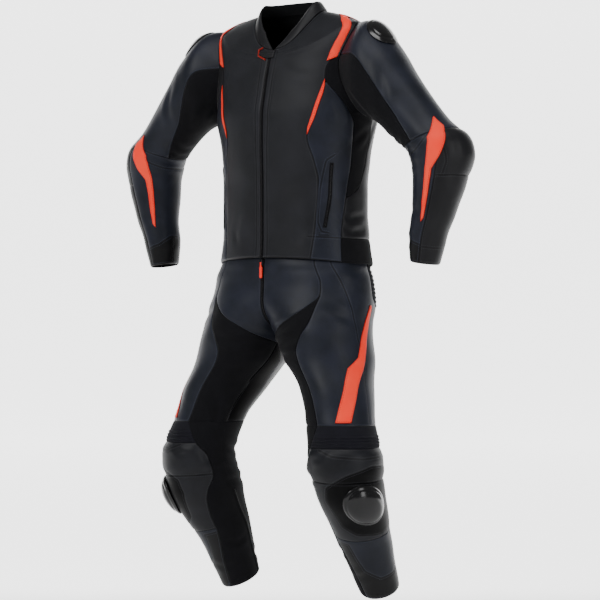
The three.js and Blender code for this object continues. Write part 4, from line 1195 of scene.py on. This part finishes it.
def build_collar():
    def opening(row):
        return zip_edge(np.array(2.0)) + 24 * np.clip((row - 2) / 23, 0, 1) ** 1.3

    def padding(across, along, row, edge):
        return 1.2 * np.sin(np.pi * along) * np.clip(edge / 6, 0, 1)

    cloth_panel("collar", COLLAR, 2.2, 25, opening, lambda row: 360 - opening(row), BLACK_LEATHER,
                relief=padding)


def build_front_zip():
    cloth_panel("front_zip", TORSO, HEM, -4, lambda row: -zip_edge(row), zip_edge, TAPE,
                relief=lambda across, along, row, edge: -0.4 + 0 * edge)
    teeth_along("front_zip_teeth", TORSO, [(0, -586), (0, -300), (0, -104)])


SHOULDER_STRIPE = [
    (-110, 46.4, -104, 57), (-82, 50, -80, 63), (-59, 55, -57, 70), (-40, 62, -42, 77), (-20, 75, -28, 84),
    (-9, 90, -16, 90), (-11, 104, -20, 99), (-24, 125, -31, 115), (-44, 133, -50, 124), (-70, 137, -74,
                                                                                         129),
]
POCKET_ZIP_ROWS = [-510, -485, -460, -435, -410, -385, -358]
POCKET_TEETH_ROWS = [-506, -430, -362]
CHEST_STRIPE_ROWS = [-160, -178, -197, -216, -236, -256, -276, -293]
ZIP_TAB = [(-3, -6, -3, 3.4), (-11, -8.5, -11, 3.2), (-22, -9.8, -20, 2.6), (-38, -6, -36, 2.4),
           (-54, -2.2, -54, 2.2)]
SLEEVE_STRIPE = np.array([
    (4.95, 32, 4.9, 27), (5.4, 52, 5.45, 26), (5.85, 72, 5.8, 36), (6.45, 81, 6.45, 47), (7.2, 87, 7.2, 60),
    (7.97, 91, 8.05, 76), (8.7, 92, 8.8, 78), (9.5, 91, 9.4, 78), (10.3, 86, 10.1, 79),
])
THIGH_STRIPE = [
    (-686, -4, -689, -8), (-735, 9, -735, -1), (-780, 21, -780, 9), (-808, 30, -808, 17),
    (-832, 48, -838, 24), (-880, 61, -880, 37), (-915, 72, -915, 46), (-955, 84, -955, 57),
]


def build_torso_trim():
    for side, hand in ((1, "left"), (-1, "right")):
        sewn_strip(f"shoulder_stripe_{hand}", TORSO, SHOULDER_STRIPE, 1.1, RED_LEATHER, side)
        chest = []
        for number, row in enumerate(CHEST_STRIPE_ROWS):
            taper = min(1, 0.12 + 0.6 * min(number, len(CHEST_STRIPE_ROWS) - 1 - number))
            seam = float(princess(np.array(row)))
            half = 5 * taper / float(per_degree(TORSO, np.array(seam), np.array(row)))
            chest.append((row, seam - half, row, seam + half))
        sewn_strip(f"chest_stripe_{hand}", TORSO, chest, 1.1, RED_LEATHER, side)
        pocket = []
        for row in POCKET_ZIP_ROWS:
            middle = float(at(POCKET_LINE, "angle", np.array(row)))
            half = 4.5 / float(per_degree(TORSO, np.array(middle), np.array(row)))
            pocket.append((row, middle - half, row, middle + half))
        sewn_strip(f"pocket_zip_{hand}", TORSO, pocket, 0.8, TAPE, side)
        line = [(float(at(POCKET_LINE, "angle", np.array(row))), row) for row in POCKET_TEETH_ROWS]
        teeth_along(f"pocket_teeth_{hand}", TORSO, line, lift=2.0, side=side)
    sewn_strip("zip_tab", TORSO, ZIP_TAB, 1.6, BLACK_LEATHER)
    chevron = []
    for angle, row in ((-14.3, 0.5), (-13.6, -9.5), (-7.5, -38), (-1.6, -65)):
        place, height = np.array(float(angle)), np.array(float(row))
        chevron.append(TORSO["point"](place, height) + 2.6 * outward(TORSO, place, height))
    tube("tab_piping", chevron, 1.9, RED_LEATHER)


def build_sleeves():
    def elbow_padding(across, along, row, edge):
        wide = np.sin(np.pi * np.minimum(across / 0.7, 1)) ** 0.7
        return 5.5 * wide * np.sin(np.pi * np.clip(along, 0, 1)) ** 0.7 * np.clip(edge / 10, 0, 1)

    for side in (1, -1):
        cloth_panel("sleeve_outer", SLEEVE, 0.01, ELBOW_TOP, lambda row: sleeve_back(row) - 360,
                    sleeve_front(side),
                    GREY_LEATHER, side)
        cloth_panel("sleeve_stretch", SLEEVE, 0.01, ELBOW_TOP, sleeve_front(side), sleeve_back, STRETCH,
                    side)
        cloth_panel("elbow_pad", SLEEVE, ELBOW_TOP, ELBOW_END, forearm_back, forearm_front, BLACK_LEATHER,
                    side, relief=elbow_padding)
        cloth_panel("forearm_outer", SLEEVE, ELBOW_END, CUFF, forearm_back, forearm_front, BLACK_LEATHER,
                    side)
        cloth_panel("forearm_inner", SLEEVE, ELBOW_TOP, CUFF, forearm_front,
                    lambda row: forearm_back(row) + 360,
                    CUFF_LEATHER, side)


def small_zip(name, surface, line, half_width, side):
    """A short zip on the stretch: a tape with its teeth along the middle."""
    sections = []
    for angle, row in line:
        half = half_width / float(per_degree(surface, np.array(float(angle)), np.array(float(row))))
        sections.append((row, angle - half, row, angle + half))
    hand = "left" if side > 0 else "right"
    sewn_strip(f"{name}_tape_{hand}", surface, sections, 0.7, TAPE, side, replace=False)
    teeth_along(f"{name}_teeth_{hand}", surface, line, lift=1.6, side=side)


def build_sleeve_trim():
    def cap_profile(radius):
        return 2.4 + 6 * (1 - radius**2.4) - 1.2 * np.exp(-(((radius - 0.72) / 0.04) ** 2))

    cap = {"angle": 5, "row": 1.5, "half_width": 42, "half_height": 46, "lift": 0.9}
    for side, hand in ((1, "left"), (-1, "right")):
        turned = SLEEVE_STRIPE + (0 if side > 0 else np.array([0, 34, 0, 34]))
        sewn_strip(f"sleeve_stripe_{hand}", SLEEVE, turned, 1.1, RED_LEATHER, side, lift=0.9)
        hard_dome(f"shoulder_cap_{hand}", SLEEVE, cap, HARD, side, cap_profile)
        small_zip("wrist_zip", SLEEVE, [(168, 10.75), (166, 11.3), (164, 11.9)], 5, side)


def ribbing(start, pitch, count, height):
    """Round ribs across the ribbed stretch, one in each pitch of rows below the start."""

    def relief(across, along, row, edge):
        turns = (start - row) / pitch
        ridge = height * (0.5 - 0.5 * np.cos(2 * np.pi * turns))
        return np.where((turns > 0) & (turns < count), ridge, 0) * np.clip(edge / 8, 0, 1)

    return relief


def build_hips():
    ribs = ribbing(start=-594, pitch=10, count=10, height=1.8)

    def fly_edge(row):
        return middle_angle(row, 1, fly_half(row) + SEAM / 2)

    def inner_high(row):
        return np.where(row > CROTCH - 0.5, fly_seam(row), middle_angle(row, 1, SEAM / 2))

    for side in (1, -1):
        cloth_panel("fly_panel", LEG, WAIST, CROTCH, fly_seam, fly_edge, GREY_LEATHER,
                    side)
        cloth_panel("inner_stretch", LEG, INNER_TIP, KNEE_BAND, inner_seam, inner_high, STRETCH,
                    side)
        cloth_panel("thigh_front", LEG, WAIST, KNEE_BAND, hip_front, inner_seam, GREY_LEATHER,
                    side)
        rib_rows = np.concatenate([[WAIST - 0.2, -573.2, -575, -578], np.arange(-584, -699, -1.6),
                                   [-701, -703, -704.2]])
        cloth_panel("hip_stretch", LEG, WAIST, HIP_END, hip_back, hip_front, RIBBED, side,
                    relief=ribs, rows=rib_rows)
        cloth_panel("seat", LEG, WAIST, KNEE_BAND, lambda row: middle_angle(row, -1, SEAM / 2 + 0.01),
                    hip_back,
                    SEAT_LEATHER, side)


def build_lower_legs():
    band_ribs = ribbing(start=-984, pitch=7, count=4, height=2.2)

    def padding(across, along, row, edge):
        return 6 * (1 - np.exp(-((edge / 14) ** 2)))

    for side in (1, -1):
        rib_rows = np.concatenate([[-962.2, -963, -965, -968, -973, -978], np.arange(-982, -1009, -1.1),
                                   [-1009, -1010.6, -1011.8]])
        cloth_panel("knee_band", LEG, KNEE_BAND, KNEE_PAD, knee_outer, knee_inner, RIBBED,
                    side,
                    relief=band_ribs, rows=rib_rows)
        cloth_panel("knee_pad", LEG, KNEE_PAD, KNEE_PATCH, knee_outer, knee_inner, KNEE_LEATHER,
                    side, relief=padding)
        cloth_panel("knee_patch", LEG, KNEE_PATCH, SHIN, knee_outer, knee_inner, KNEE_LEATHER,
                    side)
        cloth_panel("shin", LEG, SHIN, LEG_HEM, knee_outer, knee_inner, SHIN_LEATHER, side)
        cloth_panel("calf", LEG, KNEE_BAND, LEG_HEM, knee_inner, lambda row: knee_outer(row) + 360, STRETCH,
                    side)


def build_leg_trim():
    def slider_profile(radius):
        return 4.2 + 12 * (1 - radius**3.2) - 1.6 * np.exp(-(((radius - 0.84) / 0.035) ** 2))

    slider = {"angle": 53, "row": -1129, "half_width": 54, "half_height": 54, "lift": 0.8}
    for side, hand in ((1, "left"), (-1, "right")):
        sewn_strip(f"thigh_stripe_{hand}", LEG, THIGH_STRIPE, 1.1, RED_LEATHER, side)
        hard_dome(f"knee_slider_{hand}", LEG, slider, HARD, side, slider_profile)
        small_zip("calf_zip", LEG, [(206, -1130), (212, -1220), (216, -1300), (217, -1342)], 6, side)


def build_fly():
    cloth_panel("fly_zip", FLY, WAIST, -731, lambda row: -1 + 0 * row, lambda row: 1 + 0 * row, TAPE,
                rows=np.linspace(WAIST - 0.2, -730.8, 60))
    teeth_along("fly_teeth", FLY, [(0, -598), (0, -660), (0, -722)])
    for name, finish in (("fly_slider", ZINC), ("fly_pull", RED_RUBBER)):
        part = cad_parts[name]
        part.data.materials.clear()
        part.data.materials.append(finish)


def build_studio():
    """A sweep of white paper behind and under the suit, curved where the wall meets the floor."""
    floor, back, bend, half = -1.5, 13.0, 4.0, 13.0
    turns = np.linspace(0, math.pi / 2, 9)
    profile = [(-13.0, floor), (back - bend, floor)]
    profile += [(back - bend + bend * math.sin(turn),
                 floor + bend - bend * math.cos(turn)) for turn in turns[1:]]
    profile += [(back, 11.0)]
    points, faces = [], []
    for away, height in profile:
        for across in (-half, half):
            x = across * math.cos(LOOK) - away * math.sin(LOOK)
            y = across * math.sin(LOOK) + away * math.cos(LOOK)
            points.append((x, y, height))
    for step in range(len(profile) - 1):
        faces.append((2 * step, 2 * step + 1, 2 * step + 3, 2 * step + 2))
    mesh = bpy.data.meshes.new("paper_sweep")
    mesh.from_pydata(points, [], faces)
    mesh.polygons.foreach_set("use_smooth", np.ones(len(faces), bool))
    mesh.materials.append(studio_paper("studio_paper", "#fafafa", PAPER_GLOW))
    paper = link_object("paper_sweep", mesh)
    for light in LIGHTS:
        add_light(*light)
    world = bpy.data.worlds.new("studio")
    world.use_nodes = True
    background = world.node_tree.nodes["Background"]
    background.inputs["Color"].default_value = (1, 1, 1, 1)
    background.inputs["Strength"].default_value = ROOM_LIGHT
    bpy.context.scene.world = world


make_camera()
build_studio()
build_torso()
build_collar()
build_front_zip()
build_torso_trim()
build_sleeves()
build_sleeve_trim()
build_hips()
build_lower_legs()
build_leg_trim()
build_fly()
